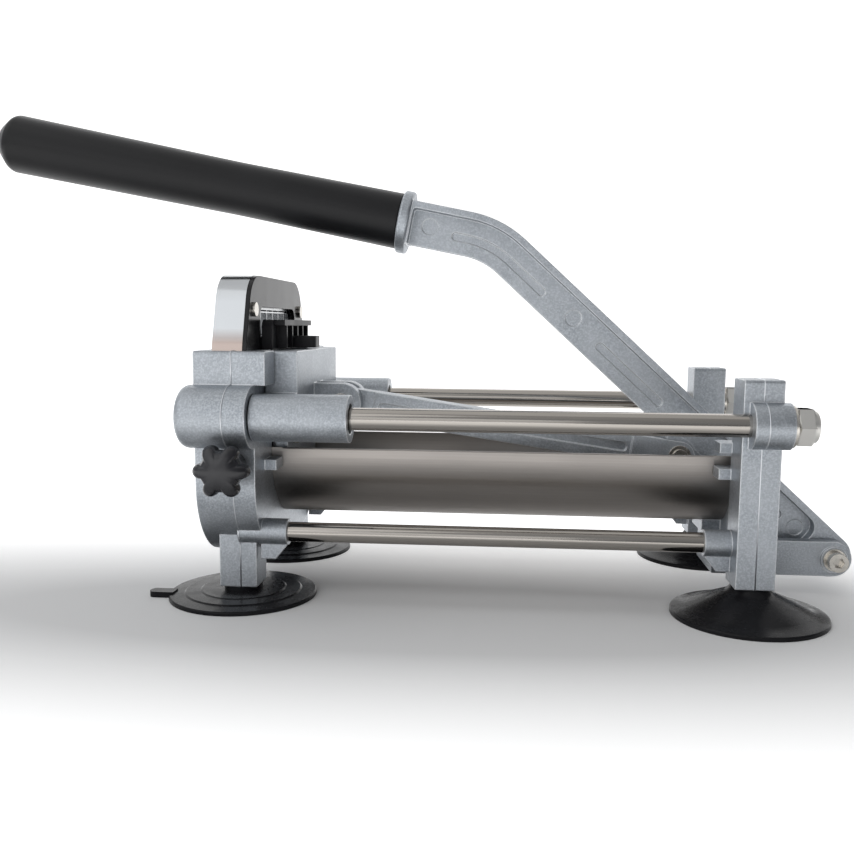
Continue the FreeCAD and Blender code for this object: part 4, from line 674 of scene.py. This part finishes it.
def outer_section(node, plane):
    """Edges where an upright plane across the machine leaves the casting's outside."""
    built = bmesh.new()
    built.from_mesh(NODES[node].data)
    bmesh.ops.remove_doubles(built, verts=built.verts, dist=WELD)
    solid = BVHTree.FromBMesh(built)
    everything = built.verts[:] + built.edges[:] + built.faces[:]
    cut = bmesh.ops.bisect_plane(built, geom=everything, dist=WELD,
                                 plane_co=(plane, 0, 0), plane_no=(1, 0, 0))
    core = middle("trough").z
    stud = middle("knob_stud_near").z
    lines = bmesh.new()
    for edge in cut["geom_cut"]:
        if not isinstance(edge, bmesh.types.BMEdge):
            continue
        point = (edge.verts[0].co + edge.verts[1].co) / 2
        away = Vector((0, point.y, point.z - core)).normalized()
        at_stud = node == "front_frame" and abs(point.z - stud) < CLEAR_OF_STUD
        if at_stud or solid.ray_cast(point + away * OFF_THE_SKIN, away)[0]:
            continue
        lines.edges.new([lines.verts.new(v.co) for v in edge.verts])
    built.free()
    bmesh.ops.remove_doubles(lines, verts=lines.verts, dist=LINE_WELD)
    return as_mesh("seam", lines)


# Stage

# The floor's extent and its bend up into the wall, in metres
FLOOR_HALF_WIDTH = 9.0
FLOOR_FRONT = -6.0
BEND_START = 3.0
BEND_RADIUS = 3.0
BEND_STEPS = 12
WALL_TOP = 8.0
# The floor's own shade shows inside an oval under the object and gives way to white outside it
OVAL_SCALE = (0.4, 1.6, 1.0)
OVAL_SHIFT = (0.0, 0.12, 0.0)
OVAL_INNER, OVAL_OUTER = 0.08, 0.34
# Surroundings from straight down to straight up, and their strength from left to right
SKY = [
    (0.0, (0.20, 0.18, 0.16)), (0.48, (0.24, 0.215, 0.19)), (0.52, (0.56, 0.56, 0.57)),
    (0.66, (0.72, 0.74, 0.77)), (1.0, (1.0, 1.0, 1.0)),
]
SKY_LEFT, SKY_RIGHT = -0.6, 0.8
LEFT_STRENGTH, RIGHT_STRENGTH = 0.75, 0.22
# Name, place, target, width and share of the key light's power
LAMPS = [
    ("key", (-0.95, -0.95, 1.0), (0.0, 0.0, 0.1), 1.7, 1.2),
    ("front", (-0.35, -1.3, 0.22), (0.0, 0.0, 0.08), 1.1, 0.5),
    ("top", (0.0, 0.25, 1.2), (0.0, 0.0, 0.0), 1.5, 0.42),
]
CAMERA_PLACE = (0.050476, -0.49503, 0.14023)
CAMERA_YAW, CAMERA_PITCH, CAMERA_ROLL = -0.0732, 0.1175, 0.0095
CAMERA_SHIFT = (-0.0215, 0.0048)


class FRYCUTTER_OT_stage(bpy.types.Operator):
    """Floor, soft lamps, surroundings and the camera"""
    bl_idname = "frycutter.stage"
    bl_label = "Stage"

    def execute(self, context):
        s = context.scene.frycutter_stage
        scene = context.scene
        scene.view_settings.view_transform = "Standard"
        floor = as_object("floor", floor_mesh())
        floor.data.materials.append(floor_finish(s))
        make_world(scene)
        for name, place, target, size, share in LAMPS:
            add_lamp(name, place, target, size, s.key * share)
        add_camera(scene, s)
        return {"FINISHED"}


def floor_mesh():
    """A floor that bends up into a wall behind the object."""
    rows = [(FLOOR_FRONT, 0.0), (BEND_START, 0.0)]
    for i in range(1, BEND_STEPS + 1):
        angle = math.pi / 2 * i / BEND_STEPS
        rows.append((BEND_START + BEND_RADIUS * math.sin(angle),
                     BEND_RADIUS - BEND_RADIUS * math.cos(angle)))
    rows.append((BEND_START + BEND_RADIUS, WALL_TOP))
    built = bmesh.new()
    sides = (-FLOOR_HALF_WIDTH, FLOOR_HALF_WIDTH)
    lines = [[built.verts.new((x, y, z)) for x in sides] for y, z in rows]
    for near, far in zip(lines, lines[1:]):
        built.faces.new((near[0], near[1], far[1], far[0]))
    return as_mesh("floor", built, smooth=True)


def floor_finish(s):
    """Pale paint that looks white away from the object and keeps the shadow near it."""
    n = Finish("floor_paint", Roughness=0.6, Specular_IOR_Level=0.2)
    cloud = n.noise(n.coordinates(), 2.0, detail=2.0)
    material = n.done(n.spread(cloud, shade(s.floor, 0.985), tuple(s.floor)))
    away = n.add("ShaderNodeVectorMath", operation="LENGTH")
    n.join(n.coordinates(OVAL_SCALE, OVAL_SHIFT), away.inputs[0])
    outside = n.ramp(away.outputs["Value"], OVAL_INNER, OVAL_OUTER, 0.0, 1.0)
    light = n.add("ShaderNodeLightPath")
    mirrored = n.add("ShaderNodeMath", operation="ADD")
    n.join(light.outputs["Is Glossy Ray"], mirrored.inputs[0])
    n.join(light.outputs["Is Transmission Ray"], mirrored.inputs[1])
    seen = n.add("ShaderNodeMath", operation="ADD", use_clamp=True)
    n.join(light.outputs["Is Camera Ray"], seen.inputs[0])
    n.join(mirrored.outputs["Value"], seen.inputs[1])
    share = n.add("ShaderNodeMath", operation="MULTIPLY")
    n.join(seen.outputs["Value"], share.inputs[0])
    n.join(outside, share.inputs[1])
    glow = n.add("ShaderNodeEmission", {"Color": (1, 1, 1, 1)})
    n.join(share.outputs["Value"], glow.inputs["Strength"])
    both = n.add("ShaderNodeAddShader")
    n.join(n.shader.outputs["BSDF"], both.inputs[0])
    n.join(glow.outputs["Emission"], both.inputs[1])
    n.join(both.outputs["Shader"], n.tree.nodes["Material Output"].inputs["Surface"])
    return material


def make_world(scene):
    """A pale studio, darker low down and to the right, for the metal to reflect."""
    scene.world = bpy.data.worlds.new("studio")
    scene.world.use_nodes = True
    n = Tree(scene.world.node_tree)
    place = n.add("ShaderNodeTexCoord")
    split = n.add("ShaderNodeSeparateXYZ")
    rise = n.add("ShaderNodeMapRange", {"From Min": -1.0})
    sky = n.add("ShaderNodeValToRGB")
    stops = sky.color_ramp.elements
    while len(stops) < len(SKY):
        stops.new(0.5)
    for stop, (position, tone) in zip(stops, SKY):
        stop.position = position
        stop.color = (*tone, 1)
    across = n.add("ShaderNodeMapRange", {"From Min": SKY_LEFT, "From Max": SKY_RIGHT,
                                          "To Min": LEFT_STRENGTH, "To Max": RIGHT_STRENGTH})
    dim = n.add("ShaderNodeVectorMath", operation="SCALE")
    n.join(place.outputs["Generated"], split.inputs["Vector"])
    n.join(split.outputs["Z"], rise.inputs["Value"])
    n.join(rise.outputs["Result"], sky.inputs["Fac"])
    n.join(split.outputs["X"], across.inputs["Value"])
    n.join(sky.outputs["Color"], dim.inputs[0])
    n.join(across.outputs["Result"], dim.inputs["Scale"])
    n.join(dim.outputs["Vector"], n.tree.nodes["Background"].inputs["Color"])
    n.tree.nodes["Background"].inputs["Strength"].default_value = 1.0


def add_lamp(name, place, target, size, power):
    """A square soft lamp that faces its target."""
    data = bpy.data.lights.new(name, "AREA")
    data.shape = "SQUARE"
    data.size = size
    data.energy = power
    lamp = as_object(name, data)
    lamp.location = place
    lamp.rotation_euler = (Vector(target) - Vector(place)).to_track_quat("-Z", "Y").to_euler()


def add_camera(scene, s):
    """The camera stands where the photograph was taken, a little above the rods."""
    data = bpy.data.cameras.new("camera")
    data.sensor_width = 36.0
    data.sensor_fit = "HORIZONTAL"
    data.lens = s.focal
    data.shift_x, data.shift_y = CAMERA_SHIFT
    data.clip_end = 50.0
    camera = as_object("camera", data)
    level_reach = math.cos(CAMERA_PITCH)
    forward = Vector((math.sin(CAMERA_YAW) * level_reach, math.cos(CAMERA_YAW) * level_reach,
                      -math.sin(CAMERA_PITCH)))
    level = Vector((math.cos(CAMERA_YAW), -math.sin(CAMERA_YAW), 0.0))
    upright = level.cross(forward)
    right = level * math.cos(CAMERA_ROLL) + upright * math.sin(CAMERA_ROLL)
    up = upright * math.cos(CAMERA_ROLL) - level * math.sin(CAMERA_ROLL)
    turn = Matrix((right, up, -forward)).transposed().to_4x4()
    camera.matrix_world = Matrix.Translation(CAMERA_PLACE) @ turn
    scene.camera = camera


# The add-on

MAKERS = [
    FRYCUTTER_OT_castings, FRYCUTTER_OT_steel, FRYCUTTER_OT_plastics, FRYCUTTER_OT_lock_nuts,
    FRYCUTTER_OT_star_knobs, FRYCUTTER_OT_parting_seam, FRYCUTTER_OT_stage,
]
SETTINGS = [
    ("frycutter_casting", CastingSettings), ("frycutter_steel", SteelSettings),
    ("frycutter_plastic", PlasticSettings), ("frycutter_fitting", FittingSettings),
    ("frycutter_stage", StageSettings),
]


class FRYCUTTER_PT_panel(bpy.types.Panel):
    """Lists the sizes, colours and makers of the fry cutter"""
    bl_label = "Fry Cutter"
    bl_idname = "FRYCUTTER_PT_panel"
    bl_space_type = "VIEW_3D"
    bl_region_type = "UI"
    bl_category = "Fry Cutter"

    def draw(self, context):
        for name, group in SETTINGS:
            box = self.layout.box()
            settings = getattr(context.scene, name)
            for key in group.__annotations__:
                box.prop(settings, key)
        for maker in MAKERS:
            self.layout.operator(maker.bl_idname)


def register():
    for name, group in SETTINGS:
        bpy.utils.register_class(group)
        setattr(bpy.types.Scene, name, PointerProperty(type=group))
    for item in MAKERS + [FRYCUTTER_PT_panel]:
        bpy.utils.register_class(item)


def unregister():
    for item in reversed(MAKERS + [FRYCUTTER_PT_panel]):
        bpy.utils.unregister_class(item)
    for name, group in reversed(SETTINGS):
        delattr(bpy.types.Scene, name)
        bpy.utils.unregister_class(group)


def main():
    register()
    for maker in MAKERS:
        group, action = maker.bl_idname.split(".")
        getattr(getattr(bpy.ops, group), action)()


if __name__ == "__main__":
    main()
